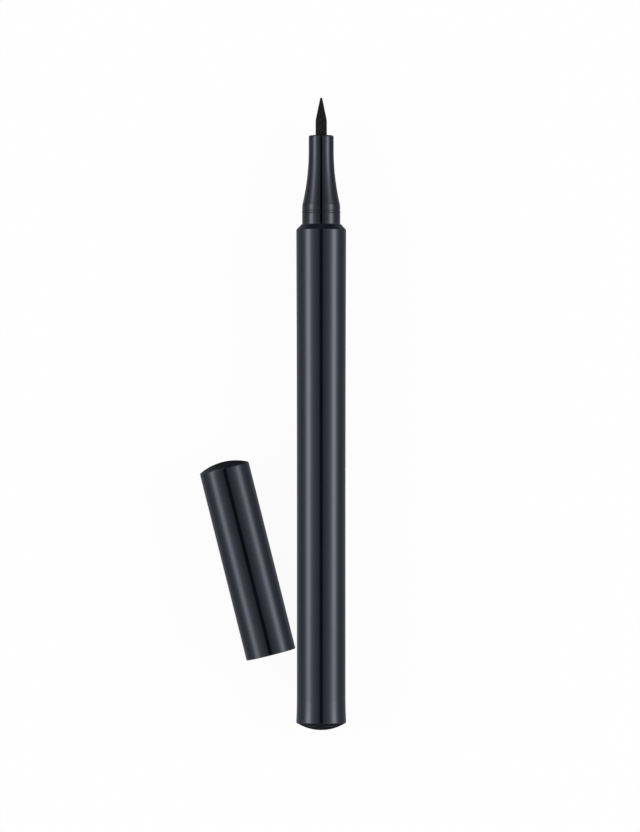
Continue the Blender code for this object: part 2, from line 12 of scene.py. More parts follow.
import bpy
import numpy as np
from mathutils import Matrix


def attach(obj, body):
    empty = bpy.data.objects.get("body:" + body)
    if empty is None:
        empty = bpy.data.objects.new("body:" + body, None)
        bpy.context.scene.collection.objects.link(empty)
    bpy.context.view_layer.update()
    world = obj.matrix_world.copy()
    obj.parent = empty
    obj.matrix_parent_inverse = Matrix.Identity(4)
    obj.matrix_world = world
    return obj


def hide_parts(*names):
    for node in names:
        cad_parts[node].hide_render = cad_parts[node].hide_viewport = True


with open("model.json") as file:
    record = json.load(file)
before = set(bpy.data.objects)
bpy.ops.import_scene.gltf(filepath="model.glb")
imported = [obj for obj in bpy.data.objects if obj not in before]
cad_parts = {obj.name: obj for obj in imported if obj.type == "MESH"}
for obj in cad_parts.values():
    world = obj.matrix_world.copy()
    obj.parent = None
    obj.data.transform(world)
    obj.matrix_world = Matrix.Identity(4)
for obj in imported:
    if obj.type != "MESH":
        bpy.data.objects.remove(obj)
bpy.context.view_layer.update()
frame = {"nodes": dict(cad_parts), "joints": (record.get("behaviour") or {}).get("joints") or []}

bl_info = {
    "name": "Eyeliner Pen Surfaces",
    "version": (1, 0, 0),
    "blender": (4, 5, 0),
    "location": "3D Viewport > Sidebar > Eyeliner Pen",
    "description": "Turned surfaces, procedural finishes and a studio for a felt-tip eyeliner pen",
    "category": "Object",
}

# Detail of the surfaces: columns round an axis, and points along each arc, curve and side
SEGMENTS = 144
NIB_SEGMENTS = 96
ARC_STEPS = 7
CURVE_STEPS = 24
SIDE_STEPS = 48
SHARP_ANGLE = math.radians(35)

# How far from the ends of a long run its added rows lie
RUN_LEADS = np.array((0.00008, 0.0002, 0.0005, 0.0012, 0.003))

# What counts as nothing
TINY = 1e-9

# Edges that handling rubs paler, and along which a highlight is painted into the colour
WEAR_AND_HIGHLIGHT_WIDTH = 0.00022
DOME_TURN = math.radians(6)
EDGE_TURN = math.radians(40)

# Refraction of the plastics: the barrel and its plug, the cap, the front section, the inside
SHELL_IOR = 1.56
CAP_IOR = 1.52
FRONT_IOR = 1.53
INNER_IOR = 1.50

# Skin of the plastics: scales in waves a metre, and shares of each mark in the colour, the
# roughness and the height. A bump is its strength and its height in metres.
CLOUD_SCALE = 260.0
HAIR_SCALE = 5200.0
HAIR_STRETCH = 0.03
GRAIN_SCALE = 7000.0
PEEL_SCALE = 900.0
HAIR_PALENESS = 0.12
# The edges' paleness is partly rubbed wear and partly a painted highlight
EDGE_WEAR_AND_HIGHLIGHT = 0.55
HAIR_ROUGHNESS = 0.05
EDGE_ROUGHNESS = 0.06
HAIR_DEPTH = 0.10
GRAIN_HEIGHT = 0.12
SKIN_BUMP = (0.35, 0.000002)

# What part of a noise's range counts, and what it gives there where that isn't 0 to 1
HAIR_RANGE = (0.66, 0.74)
HAIR_CLOUD_RANGE = (0.48, 0.62)
WEAR_AND_HIGHLIGHT_RANGE = (0.30, 0.62, 0.35, 1.0)
SHADE_RANGE = (0.3, 0.7, 0.86, 1.14)
# The pores' range also sets where shade is painted into the felt
PORE_RANGE = (0.10, 0.55)
STRAND_RANGE = (0.34, 0.66)
STRAND_ROUGHNESS_RANGE = (0.3, 0.7, 0.86, 1.0)
CLOUD_MIDDLE = 0.5

# Felt and drawn fibres. Each light is how many times as light as the base a light strand is,
# and each scale is in strands a metre.
FELT_IOR = 1.38
FELT_SPECULAR = 0.22
FELT_BUMP = (0.8, 0.00003)
STRAND_STRETCH = 0.22
CELL_STRETCH = 0.55
CELL_SCALE_SHARE = 0.5
PORE_DEPTH = 0.6
NIB_LIGHT = 2.8
NIB_SCALE = 5200.0
CORE_LIGHT = 1.6
CORE_SCALE = 3000.0

# Fits, shared by every piece. What only just touches has the smaller gap.
FIT_GAP = 0.00015
TOUCH_GAP = 0.00002
RIB_RAMP = 0.00004
RIB_LEAD = 0.00025

# Barrel
TAIL_RIM_FILLET = 0.00025
SHOULDER_FILLET = 0.00015
MOUTH_LEDGE = 0.00014
MOUTH_FILLET = 0.00004
BARREL_RIB_COUNT = 6
BARREL_RIB_HEIGHT = 0.0003
BARREL_RIB_WIDTH = 0.0006
RIB_END_CLEARANCE = 0.0010

# Snap rings that hold the front section and the tail plug in the barrel
SNAP_HEIGHT = 0.00025
SNAP_WIDTH = 0.0010
SNAP_CREST_SHARE = 0.4
SNAP_FILLET = 0.00008

# Front section
COLLAR_SEAT = 0.000225
COLLAR_GAP = 0.00001
COLLAR_EDGE_FILLET = 0.00002
BEAD_DISTANCE = 0.0025
BEAD_WIDTH = 0.0004
BEAD_HEIGHT = 0.00004
BEAD_CREST_SHARE = 0.62
BEAD_GROOVE_FRONT = 0.0003
BEAD_GROOVE_BACK = 0.00013
BEAD_GROOVE_DEPTH = 0.00006
BEAD_FILLET = 0.00003
FLARE_STEP = 0.00004
NOSE_FILLET = 0.00032
NOSE_LAND = 0.0022
NOSE_MOUTH_FILLET = 0.00005
INNER_CONE_LENGTH = 0.0053
SPIGOT_WALL = 0.0008
SPIGOT_SNAP_DISTANCE = 0.0040
SLOT_WIDTH = 0.0010
SLOT_LENGTH = 0.0020
SLOT_COUNT = 4
HOLDER_WALL = 0.00045

# Nib
NIB_SHOULDER_FILLET = 0.0040
NIB_TAIL_FILLET = 0.0003
FUZZ_WAVES = 220
FUZZ_HEIGHT = 0.000006
FUZZ_TURNS = (5, 34)
FUZZ_PITCH = (0.0005, 0.0040)
FUZZ_SEED = 11

# Tail plug
PLUG_EDGE_FILLET = 0.0001
PLUG_HEAD_LENGTH = 0.0022
PLUG_FLOOR = 0.0014
PLUG_WALL = 0.0008
PLUG_SNAP_DISTANCE = 0.0022
PLATE_WIDTH = 0.0006
WEB_PHASE_SHARE = 0.5

# Cap shell
CAP_RIM_CHAMFER = 0.00025
CAP_RIM_FILLET = 0.00015
CLICK_WIDTH = 0.0006
CLICK_CREST_SHARE = 0.4
LINER_RIB_COUNT = 6
LINER_RIB_HEIGHT = 0.0003
LINER_RIB_WIDTH = 0.0007

# Inner cap
LINER_NECK_CLEARANCE = 0.00035
LINER_LIP_WIDTH = 0.0008
LINER_LIP_CREST_SHARE = 0.4
LINER_LIP_FILLET = 0.00012
LINER_FLOOR = 0.0008
LINER_MOUTH_FILLET = 0.0002

# The photograph's frame in pixels, and the size of one pixel at the pen's axis
IMAGE_WIDTH = 640
IMAGE_HEIGHT = 832
PIXEL_SIZE = 0.0002035
PEN_AXIS_PIXEL = 321.2
TAIL_APEX_PIXEL = 730.0

# The camera's sensor in millimetres, and how near and far it sees, in camera heights
SENSOR_SIZE = 36.0
NEAR_CLIP = 0.01
FAR_CLIP = 10.0

# Points along each side of the floor
FLOOR_POINTS = 9

Lathe = namedtuple("Lathe", "origin along side up")
Reach = namedtuple("Reach", "low high radius")
Bars = namedtuple("Bars", "count width radius height")
Heading = namedtuple("Heading", "tilt lean turn beside height on_left")

# A rubbed edge, paled by wear and by a painted highlight, has gain times the plastic's colour
# plus lift, and spread is how much the roughness swings
Skin = namedtuple("Skin", "edge_gain edge_lift spread")
BLACK_SKIN = Skin(3.2, 0.004, 0.06)
PLAIN_SKIN = Skin(1.15, 0.02, 0.08)


def node_points(node):
    """Every vertex of a CAD node as it lies, one row each."""
    vertices = frame["nodes"][node].data.vertices
    points = np.empty(len(vertices) * 3, np.float32)
    vertices.foreach_get("co", points)
    return points.reshape(-1, 3).astype(float)


def find_lathe(node, along):
    """The axis of a turned node: midway through it both ways across, from its lowest end."""
    up = np.array((0.0, 0.0, 1.0))
    along = np.array(along) / np.linalg.norm(along)
    side = np.cross(along, up)
    directions = np.array((side, along, up))
    spans = node_points(node) @ directions.T
    low, high = spans.min(axis=0), spans.max(axis=0)
    middle = (low + high) / 2
    return Lathe(directions.T @ (middle[0], low[1], middle[2]), along, side, up)


def reach(node, lathe):
    """Lowest station, highest station and greatest radius of a CAD node about its axis."""
    offsets = node_points(node) - lathe.origin
    stations = offsets @ lathe.along
    radii = np.linalg.norm(offsets - np.outer(stations, lathe.along), axis=1)
    return Reach(float(stations.min()), float(stations.max()), float(radii.max()))


PEN = find_lathe("tail_plug", (0, 1, 0))
CAP = find_lathe("cap_shell", frame["joints"][0]["axis"])
BARREL = reach("barrel", PEN)
TAIL_PLUG = reach("tail_plug", PEN)
FRONT_SECTION = reach("front_section", PEN)
NIB = reach("nib", PEN)
CAP_SHELL = reach("cap_shell", CAP)
CAP_LINER = reach("cap_liner", CAP)


def length(name, description, default):
    """A size in metres."""
    return bpy.props.FloatProperty(
        name=name, description=description, default=default, min=0, precision=6,
        subtype="DISTANCE", unit="LENGTH")


def angle(name, description, default):
    """An angle, written in degrees and kept in radians."""
    return bpy.props.FloatProperty(
        name=name, description=description, default=math.radians(default), subtype="ANGLE")


def amount(name, description, default, high=1.0):
    """A plain number from 0 up."""
    return bpy.props.FloatProperty(
        name=name, description=description, default=default, min=0, max=high, subtype="FACTOR")


def colour(name, description, default):
    """A linear colour."""
    return bpy.props.FloatVectorProperty(
        name=name, description=description, default=default, size=3, min=0, max=1, subtype="COLOR")


class PenSizes(bpy.types.PropertyGroup):
    """Sizes of the pen's shown pieces."""
    barrel_length: length("Barrel length", "From the apex of the tail to the mouth", BARREL.high)
    end_radius: length("End radius", "Radius of the barrel at both ends", BARREL.radius)
    waist_radius: length("Waist radius", "Radius of the barrel's long waist", 0.00494)
    tail_flare: length("Tail flare", "Length over which the tail widens", 0.0050)
    front_swell: length("Front swell", "Length over which the front widens", 0.0620)
    dome_radius: length("Dome radius", "Radius of the domed tail", 0.0093)
    shoulder_length: length("Shoulder length", "Length of the chamfer at the mouth", 0.0011)
    collar_radius: length("Collar radius", "Radius of the collar", FRONT_SECTION.radius - BEAD_HEIGHT)
    collar_length: length("Collar length", "From the barrel's mouth to the flare", 0.00395)
    flare_length: length("Flare length", "Length of the flare between collar and neck", 0.0112)
    neck_radius: length("Neck radius", "Radius of the straight neck", 0.00254)
    nose: length("Nose station", "Station of the neck's front face", FRONT_SECTION.high)
    spigot_end: length("Spigot end", "Station of the spigot's inner end", FRONT_SECTION.low)
    plug_radius: length("Plug radius", "Radius of the tail plug's head", TAIL_PLUG.radius)
    plug_length: length("Plug length", "From the apex to the plug's inner end", TAIL_PLUG.high)
    nib_radius: length("Nib radius", "Radius of the nib's shank", NIB.radius)
    nib_tip: length("Nib tip", "Station of the nib's tip", NIB.high)
    nib_tail: length("Nib tail", "Station of the nib's hidden end", NIB.low)
    point_length: length("Point length", "Length of the nib's taper", 0.00463)
    tip_radius: length("Tip radius", "Radius of the nib's blunt tip", 0.00023)


class CapSizes(bpy.types.PropertyGroup):
    """Sizes of the cap and of its liner."""
    cap_length: length("Cap length", "From the mouth to the apex of the dome", CAP_SHELL.high)
    cap_radius: length("Cap radius", "Outer radius of the cap", CAP_SHELL.radius)
    bore_radius: length("Bore radius", "Inner radius of the cap", 0.004205)
    dome_radius: length("Dome radius", "Radius of the domed end", 0.0112)
    corner_fillet: length("Corner fillet", "Radius of the rounded corner of the dome", 0.0005)
    end_wall: length("End wall", "Thickness of the domed end", 0.0009)
    click_station: length("Click station", "From the mouth to the click ring", 0.00246)
    liner_radius: length("Liner radius", "Outer radius of the inner cap", CAP_LINER.radius)
    liner_mouth: length("Liner mouth", "From the cap's mouth to the liner", CAP_LINER.low)
    liner_back: length("Liner back", "From the cap's mouth to the skirt's end", CAP_LINER.high)
    lip_station: length("Lip station", "From the cap's mouth to the sealing lip", 0.01691)
    tip_station: length("Tip station", "From the cap's mouth to the liner's floor", 0.02761)


class Finishes(bpy.types.PropertyGroup):
    """Colours and roughnesses of the materials."""
    barrel_colour: colour("Barrel", "Colour of the barrel's plastic", (0.0021, 0.0027, 0.0050))
    barrel_roughness: amount("Barrel roughness", "Roughness of the barrel", 0.15)
    cap_colour: colour("Cap", "Colour of the cap's plastic", (0.0021, 0.0026, 0.0046))
    cap_roughness: amount("Cap roughness", "Roughness of the cap", 0.13)
    front_colour: colour("Front section", "Colour of the front section", (0.0012, 0.0014, 0.0026))
    front_roughness: amount("Front roughness", "Roughness of the front section", 0.08)
    plug_colour: colour("Tail plug", "Colour of the tail plug", (0.0030, 0.0030, 0.0036))
    plug_roughness: amount("Plug roughness", "Roughness of the tail plug", 0.20)
    skin_tint: colour("Skin tint", "Tint of the plastic's reflections", (0.78, 0.81, 1.0))
    nib_colour: colour("Nib", "Colour of the soaked felt", (0.0060, 0.0058, 0.0073))
    core_colour: colour("Fibre rod", "Colour of the stained fibres", (0.030, 0.030, 0.034))
    film_colour: colour("Film", "Colour of the film sleeve", (0.72, 0.73, 0.75))
    film_roughness: amount("Film roughness", "Roughness of the film sleeve", 0.35)
    holder_colour: colour("Nib holder", "Colour of the uncoloured plastic", (0.78, 0.77, 0.74))
    holder_roughness: amount("Holder roughness", "Roughness of the nib holder", 0.45)
    liner_colour: colour("Liner", "Colour of the inner cap", (0.18, 0.18, 0.19))
    liner_roughness: amount("Liner roughness", "Roughness of the inner cap", 0.42)


class Studio(bpy.types.PropertyGroup):
    """Camera, floor and light."""
    camera_height: length("Camera height", "Height of the camera over the pen's axis", 1.1)
    floor_size: length("Floor size", "Length of the square floor's side", 8.0)
    floor_colour: colour("Floor", "Colour of the floor", (0.88, 0.88, 0.88))
    floor_white: amount("Floor white", "Share of plain white that the camera sees", 0.95)
    strip_angle: angle("Strip angle", "From straight up to the middle of a strip light", 63.0)
    strip_spread: angle("Strip spread", "Half width of a strip light's glow", 12.5)
    strip_fall: angle("Strip fall", "How fast the glow fades towards a strip's ends", 34.0)
    strip_glow: amount("Strip glow", "Radiance in the middle of a strip's glow", 3.8, 20.0)
    break_start: angle("Break start", "Tilt towards the tail at which a strip's glow drops", 2.0)
    break_full: angle("Break full", "Tilt at which that glow is lowest", 4.4)
    break_end: angle("Break end", "Tilt at which it begins to rise again", 7.0)
    break_over: angle("Break over", "Tilt past which it is full again", 10.0)
    break_level: amount("Break level", "Share of a strip's glow that is left in between", 0.3)
    fade_start: angle("Fade start", "Turn towards the nib at which the right strip fades", 12.5)
    fade_end: angle("Fade end", "Turn past which it has faded", 16.5)
    fade_level: amount("Fade level", "Share of the right strip's glow that is left there", 0.6)
    haze_angle: angle("Haze angle", "From straight up to the middle of the haze", 58.0)
    haze_spread: angle("Haze spread", "Half width of the haze round a strip light", 31.0)
    haze_glow: amount("Haze glow", "Radiance in the middle of the haze", 1.05, 20.0)
    dome_level: amount("Dome level", "Radiance of the rest of the studio", 0.42, 5.0)
    dome_ends: amount("Dome ends", "Share of all light that is left beyond the pen's two ends", 0.20)
    low_tint: colour("Low tint", "Tint of the light from low down to either side", (0.84, 0.87, 1.0))
    low_start: angle("Low start", "Tilt to either side at which that tint begins", 70.0)
    low_end: angle("Low end", "Tilt to either side at which it is full", 110.0)
    right_level: amount("Right level", "Share that is left of the low light to the right", 0.88)
    shade_start: angle("Shade start", "Sideways tilt up to which the floor is shaded", 6.0)
    shade_end: angle("Shade end", "Sideways tilt past which it isn't shaded", 30.0)
    gap_start: angle("Gap start", "Half width of the darkest part overhead", 4.5)
    gap_end: angle("Gap end", "Half width of the dark gap overhead", 11.0)
    lamp_distance: length("Lamp distance", "From the pen to the strip lamps", 0.70)
    lamp_width: length("Lamp width", "Width of a strip lamp", 0.13)
    lamp_length: length("Lamp length", "Length of a strip lamp", 0.40)
    lamp_power: amount("Lamp power", "Power of each strip lamp in watts", 0.30, 100.0)


def corner(radius, station, fillet=0.0, rib=0.0, slot=0.0):
    """One corner of a profile. Its shares of a rib and of a slot change it round the axis."""
    return (radius, station, fillet, rib, slot)


def plain(points):
    """Corners with no fillet, rib or slot, from (radius, station) points."""
    return np.column_stack([points, np.zeros((len(points), 3))])


def snap_ring(radius, height, width, centre, crest_share, fillet=SNAP_FILLET):
    """Four corners of a ring raised by height, in rising stations."""
    foot = width / 2
    crest = foot * crest_share
    return [
        corner(radius, centre - foot, fillet),
        corner(radius + height, centre - crest, fillet),
        corner(radius + height, centre + crest, fillet),
        corner(radius, centre + foot, fillet),
    ]


def snap(radius, centre, room=0.0):
    """The snap ring that holds a piece in the barrel, or its groove, with room on both sides."""
    return snap_ring(radius, SNAP_HEIGHT, SNAP_WIDTH + 2 * room, centre, SNAP_CREST_SHARE)


def slotted_end(outer, inner, end, inward):
    """Four corners round a tube's end, with slots that run inward from it, 1 up or -1 down."""
    lead = end + inward * (SLOT_LENGTH + RIB_LEAD)
    return [
        corner(outer, lead),
        corner(outer, end, slot=1),
        corner(inner, end, slot=1),
        corner(inner, lead),
    ]


def domed_end(dome_radius, wall_radius, fillet, start_radius):
    """(radius, depth) points along a spherical end and over its filleted edge to the wall.

    On the dome a point is R (sin a, 1 - cos a). The fillet's centre is one fillet inside both
    the dome and the wall, and its arc runs from the dome's direction to square with the axis.
    """
    edge_radius = wall_radius - fillet
    edge_depth = dome_radius - math.sqrt((dome_radius - fillet) ** 2 - edge_radius ** 2)
    touch = math.asin(edge_radius / (dome_radius - fillet))
    on_dome = np.linspace(math.asin(start_radius / dome_radius), touch, CURVE_STEPS)[:-1]
    on_edge = np.linspace(touch, math.pi / 2, ARC_STEPS)
    radii = [dome_radius * np.sin(on_dome), edge_radius + fillet * np.sin(on_edge)]
    depths = [dome_radius * (1 - np.cos(on_dome)), edge_depth - fillet * np.cos(on_edge)]
    return np.column_stack([np.concatenate(radii), np.concatenate(depths)])


def rounded(corners, closed):
    """Rows of a profile whose corners are rounded: radius, station, rib share and slot share.

    With h half the angle at a corner, the arc touches both edges at fillet / tan h from it, held
    to half of the shorter edge, and its centre lies at that reach / cos h along the bisector.
    The arc's points are sums of its two end spokes, weighted by sin((1 - t) w) and sin(t w) over
    sin w, where w is the angle between the spokes and t runs from 0 to 1.
    """
    corners = np.asarray(corners, float)
    places = corners[:, :2]
    back = np.roll(places, 1, axis=0) - places
    ahead = np.roll(places, -1, axis=0) - places
    back_length = np.linalg.norm(back, axis=1, keepdims=True)
    ahead_length = np.linalg.norm(ahead, axis=1, keepdims=True)
    back, ahead = back / back_length, ahead / ahead_length
    half = np.arccos(np.clip((back * ahead).sum(axis=1, keepdims=True), -1, 1)) / 2
    touch = np.minimum(corners[:, 2:3] / np.tan(half), np.minimum(back_length, ahead_length) / 2)
    if not closed:
        touch[[0, -1]] = 0
    centre = places + (back + ahead) * touch / (2 * np.maximum(np.cos(half) ** 2, TINY))
    first = (places + back * touch - centre)[:, None]
    last = (places + ahead * touch - centre)[:, None]
    sweep = (math.pi - 2 * half)[:, None]
    share = np.linspace(0, 1, ARC_STEPS)[None, :, None]
    turn = np.sin((1 - share) * sweep) * first + np.sin(share * sweep) * last
    arcs = centre[:, None] + turn / np.maximum(np.sin(sweep), TINY)
    rows = np.column_stack([arcs.reshape(-1, 2), np.repeat(corners[:, 3:], ARC_STEPS, axis=0)])
    fresh = np.abs(np.diff(rows, axis=0)).max(axis=1) > TINY
    return rows[np.concatenate([[True], fresh])]


def graded(rows, closed):
    """Add rows near both ends of each long run, so that a mask can fade away from its edges.

    Every column is read along the profile's arc length, at the old rows and at the leads.
    """
    loop = np.vstack([rows, rows[:1]]) if closed else rows
    steps = np.linalg.norm(np.diff(loop[:, :2], axis=0), axis=1)
    marks = np.concatenate([[0], np.cumsum(steps)])
    fits = 2 * RUN_LEADS[None] < steps[:, None]
    after = (marks[:-1, None] + RUN_LEADS)[fits]
    before = (marks[1:, None] - RUN_LEADS)[fits]
    places = np.unique(np.concatenate([marks, after, before]))
    read = np.column_stack([np.interp(places, marks, column) for column in loop.T])
    return read[:-1] if closed else read


def edge_share(rows, closed):
    """How near each row is to an outer edge, from 0 to 1.

    It adds up the profile's outward turns, each weighted by exp(-(distance / width)^2), takes
    away the gentle turn of a dome and measures the rest against the turn of a full edge.
    """
    profile = rows[:, :2]
    back = profile - np.roll(profile, 1, axis=0)
    ahead = np.roll(profile, -1, axis=0) - profile
    crossed = back[:, 0] * ahead[:, 1] - back[:, 1] * ahead[:, 0]
    turns = np.arctan2(crossed, (back * ahead).sum(axis=1))
    turns *= np.sign(turns.sum())
    if not closed:
        turns[[0, -1]] = 0
    apart = np.linalg.norm(profile[:, None] - profile[None], axis=2)
    nearby = (np.maximum(turns, 0)[None] * np.exp(-(apart / WEAR_AND_HIGHLIGHT_WIDTH) ** 2)).sum(axis=1)
    return np.clip((nearby - DOME_TURN) / EDGE_TURN, 0, 1)


def bar_share(angles, bars):
    """1 across each bar, 0 between the bars, and a straight ramp on both flanks."""
    spacing = math.tau / bars.count
    offset = np.abs((angles + spacing / 2) % spacing - spacing / 2)
    half = (bars.width / 2 + RIB_RAMP) / bars.radius
    return np.clip((half - offset) * bars.radius / RIB_RAMP, 0, 1)


def columns(segments, *all_bars):
    """Angles of the columns: even ones, and four at the flanks of each bar in their place."""
    angles = np.arange(segments) * math.tau / segments
    for bars in all_bars:
        middles = math.tau * np.arange(bars.count) / bars.count
        half = bars.width / 2 / bars.radius
        lean = RIB_RAMP / bars.radius
        flanks = (middles[:, None] + (-half - lean, -half, half, half + lean)).ravel() % math.tau
        apart = np.abs((angles[:, None] - flanks + math.pi) % math.tau - math.pi).min(axis=1)
        angles = np.concatenate([angles[apart > lean], flanks])
    return np.sort(angles)


def grid_faces(index):
    """Faces between the neighbours of an index grid, with triangles where a row is one point."""
    index = np.hstack([index, index[:, :1]])
    corners = (index[:-1, :-1], index[:-1, 1:], index[1:, 1:], index[1:, :-1])
    quads = np.stack(corners, axis=-1).reshape(-1, 4)
    first_pole = quads[:, 0] == quads[:, 1]
    last_pole = quads[:, 2] == quads[:, 3]
    faces = quads[~(first_pole | last_pole)].tolist()
    return faces + quads[first_pole][:, [0, 2, 3]].tolist() + quads[last_pole][:, :3].tolist()


def add_surface(name, points, faces, edges=None):
    """Put a closed surface into a smooth-shaded object, with its faces pointing out.

    The volume is the sum over fans of triangles of a . (b x c) / 6. Where it comes out negative,
    every face is turned round.
    """
    fans = np.array([
        (face[0], *face[step:step + 2]) for face in faces for step in range(1, len(face) - 1)])
    a, b, c = (points[fans[:, side]] for side in range(3))
    if (a * np.cross(b, c)).sum() < 0:
        faces = [face[::-1] for face in faces]
    mesh = bpy.data.meshes.new(name)
    mesh.from_pydata(points.tolist(), [], faces)
    if edges is not None:
        attribute = mesh.attributes.new("edge", "FLOAT", "POINT")
        attribute.data.foreach_set("value", edges.astype(np.float32))
    mesh.shade_smooth()
    mesh.set_sharp_from_angle(angle=SHARP_ANGLE)
    piece = bpy.data.objects.new(name, mesh)
    bpy.context.scene.collection.objects.link(piece)
    return piece


def turned(name, corners, lathe, segments=SEGMENTS, ribs=None, slots=None, fuzz=None):
    """Carry a profile round an axis, as a closed surface.

    Point (i, j) = origin + s along + r (cos a side + sin a up), with a the angle of column j. In
    a rib r loses the rib's height, and in a slot s moves on by the slot's length. A profile that
    begins and ends on the axis is solid and has one point there, and any other one is a ring.
    """
    corners = np.vstack(corners)
    closed = corners[0, 0] > TINY
    rows = graded(rounded(corners, closed), closed)
    angles = columns(segments, *[bars for bars in (ribs, slots) if bars])
    radii = np.repeat(rows[:, :1], len(angles), axis=1)
    stations = np.repeat(rows[:, 1:2], len(angles), axis=1)
    if ribs:
        radii -= rows[:, 2:3] * ribs.height * bar_share(angles, ribs)
    if slots:
        stations += rows[:, 3:4] * slots.height * bar_share(angles, slots)
    if fuzz:
        radii += fuzz(angles[None], stations, radii)
    across = np.cos(angles)[:, None] * lathe.side + np.sin(angles)[:, None] * lathe.up
    points = lathe.origin + stations[..., None] * lathe.along + radii[..., None] * across
    index = np.arange(radii.size).reshape(radii.shape)
    if closed:
        index = np.vstack([index, index[:1]])
    else:
        index[0] = index[0, 0]
        index[-1] = index[-1, 0]
    used, compact = np.unique(index, return_inverse=True)
    edges = np.repeat(edge_share(rows, closed), len(angles))
    faces = grid_faces(compact.reshape(index.shape))
    return add_surface(name, points.reshape(-1, 3)[used], faces, edges[used])


def settle(piece, body, slot, material, *nodes, mirrored=True):
    """Give a piece its material and its CAD body, and hide the nodes it stands for. The slot argument is
    not used.

    A piece that isn't mirrored stays out of the reflections in the others.
    """
    piece.data.materials.append(material)
    piece.visible_glossy = mirrored
    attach(piece, body)
    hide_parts(*nodes)


def add_node(tree, kind, inputs=None, **settings):
    """Add a shader node. An input is linked if it is given a socket, and set if given a value."""
    made = tree.nodes.new(kind)
    for name, value in settings.items():
        setattr(made, name, value)
    for name, value in (inputs or {}).items():
        if isinstance(value, bpy.types.NodeSocket):
            tree.links.new(value, made.inputs[name])
        else:
            made.inputs[name].default_value = value
    return made


def maths(tree, operation, *values):
    """The result of a Math node on sockets or numbers."""
    return add_node(tree, "ShaderNodeMath", dict(enumerate(values)), operation=operation).outputs[0]


def times(tree, first, *others):
    """The product of sockets or numbers."""
    for other in others:
        first = maths(tree, "MULTIPLY", first, other)
    return first


def plus(tree, first, *others):
    """The sum of sockets or numbers."""
    for other in others:
        first = maths(tree, "ADD", first, other)
    return first


def ramp(tree, value, low, high, new_low=0.0, new_high=1.0, smooth=True):
    """A value carried from one range to another and held at its ends."""
    inputs = {"Value": value, "From Min": low, "From Max": high, "To Min": new_low, "To Max": new_high}
    kind = "SMOOTHSTEP" if smooth else "LINEAR"
    return add_node(tree, "ShaderNodeMapRange", inputs, interpolation_type=kind).outputs["Result"]


def noise(tree, vector, scale, detail=2.0, distortion=0.0):
    """A noise from 0 to 1, with scale in waves a metre."""
    inputs = {"Vector": vector, "Scale": scale, "Detail": detail, "Distortion": distortion}
    return add_node(tree, "ShaderNodeTexNoise", inputs).outputs["Fac"]


def stretched(tree, vector, scale):
    """A vector scaled differently along each axis."""
    inputs = {"Vector": vector, "Scale": scale}
    return add_node(tree, "ShaderNodeMapping", inputs, vector_type="POINT").outputs["Vector"]


def mixed(tree, share, first, second):
    """Two colours mixed by a share. Inputs 0, 6 and 7 and output 2 are the ones for colours."""
    inputs = {0: share, 6: first, 7: second}
    return add_node(tree, "ShaderNodeMix", inputs, data_type="RGBA").outputs[2]


def new_group(name, inputs, outputs):
    """An empty shader node group with its sockets, and its input and output nodes.

    Each of inputs and outputs is a (name, kind) pair, where kind is Float, Color or Vector.
    """
    tree = bpy.data.node_groups.new(name, "ShaderNodeTree")
    for way, sockets in (("INPUT", inputs), ("OUTPUT", outputs)):
        for title, kind in sockets:
            tree.interface.new_socket(title, in_out=way, socket_type=f"NodeSocket{kind}")
    return tree, tree.nodes.new("NodeGroupInput").outputs, tree.nodes.new("NodeGroupOutput").inputs


def moulded_skin():
    """Node group for moulded plastic: cloudy gloss, hairlines, grain, and edges paled by wear and a
    painted highlight.

    The piece's axis runs along the vector's Y, so the hairlines are drawn out that way.
    """
    if "moulded_skin" in bpy.data.node_groups:
        return bpy.data.node_groups["moulded_skin"]
    tree, given, result = new_group(
        "moulded_skin",
        [("Vector", "Vector"), ("Colour", "Color"), ("Edge colour", "Color"), ("Roughness", "Float"),
         ("Edge", "Float"), ("Spread", "Float")],
        [("Colour", "Color"), ("Roughness", "Float"), ("Height", "Float")])
    cloud = noise(tree, given["Vector"], CLOUD_SCALE, detail=3.0, distortion=0.4)
    drawn = stretched(tree, given["Vector"], (1.0, HAIR_STRETCH, 1.0))
    hairs = ramp(tree, noise(tree, drawn, HAIR_SCALE, detail=1.0), *HAIR_RANGE)
    hairs = times(tree, hairs, ramp(tree, cloud, *HAIR_CLOUD_RANGE))
    grain = noise(tree, given["Vector"], GRAIN_SCALE)
    peel = noise(tree, given["Vector"], PEEL_SCALE, detail=1.0)
    wear_and_highlight = times(tree, given["Edge"], ramp(tree, grain, *WEAR_AND_HIGHLIGHT_RANGE))
    shade = ramp(tree, cloud, *SHADE_RANGE, smooth=False)
    inputs = {0: given["Colour"], "Scale": shade}
    clouded = add_node(tree, "ShaderNodeVectorMath", inputs, operation="SCALE").outputs[0]
    # Edges take the paler colour: rubbed wear together with a painted highlight
    edged = mixed(tree, times(tree, wear_and_highlight, EDGE_WEAR_AND_HIGHLIGHT), clouded, given["Edge colour"])
    lined = mixed(tree, times(tree, hairs, HAIR_PALENESS), edged, given["Edge colour"])
    swing = times(tree, maths(tree, "SUBTRACT", cloud, CLOUD_MIDDLE), given["Spread"])
    marks = plus(tree, times(tree, hairs, HAIR_ROUGHNESS), times(tree, wear_and_highlight, EDGE_ROUGHNESS))
    bumps = plus(tree, times(tree, grain, GRAIN_HEIGHT), peel)
    tree.links.new(lined, result["Colour"])
    tree.links.new(plus(tree, given["Roughness"], swing, marks), result["Roughness"])
    tree.links.new(maths(tree, "SUBTRACT", bumps, times(tree, hairs, HAIR_DEPTH)), result["Height"])
    return tree


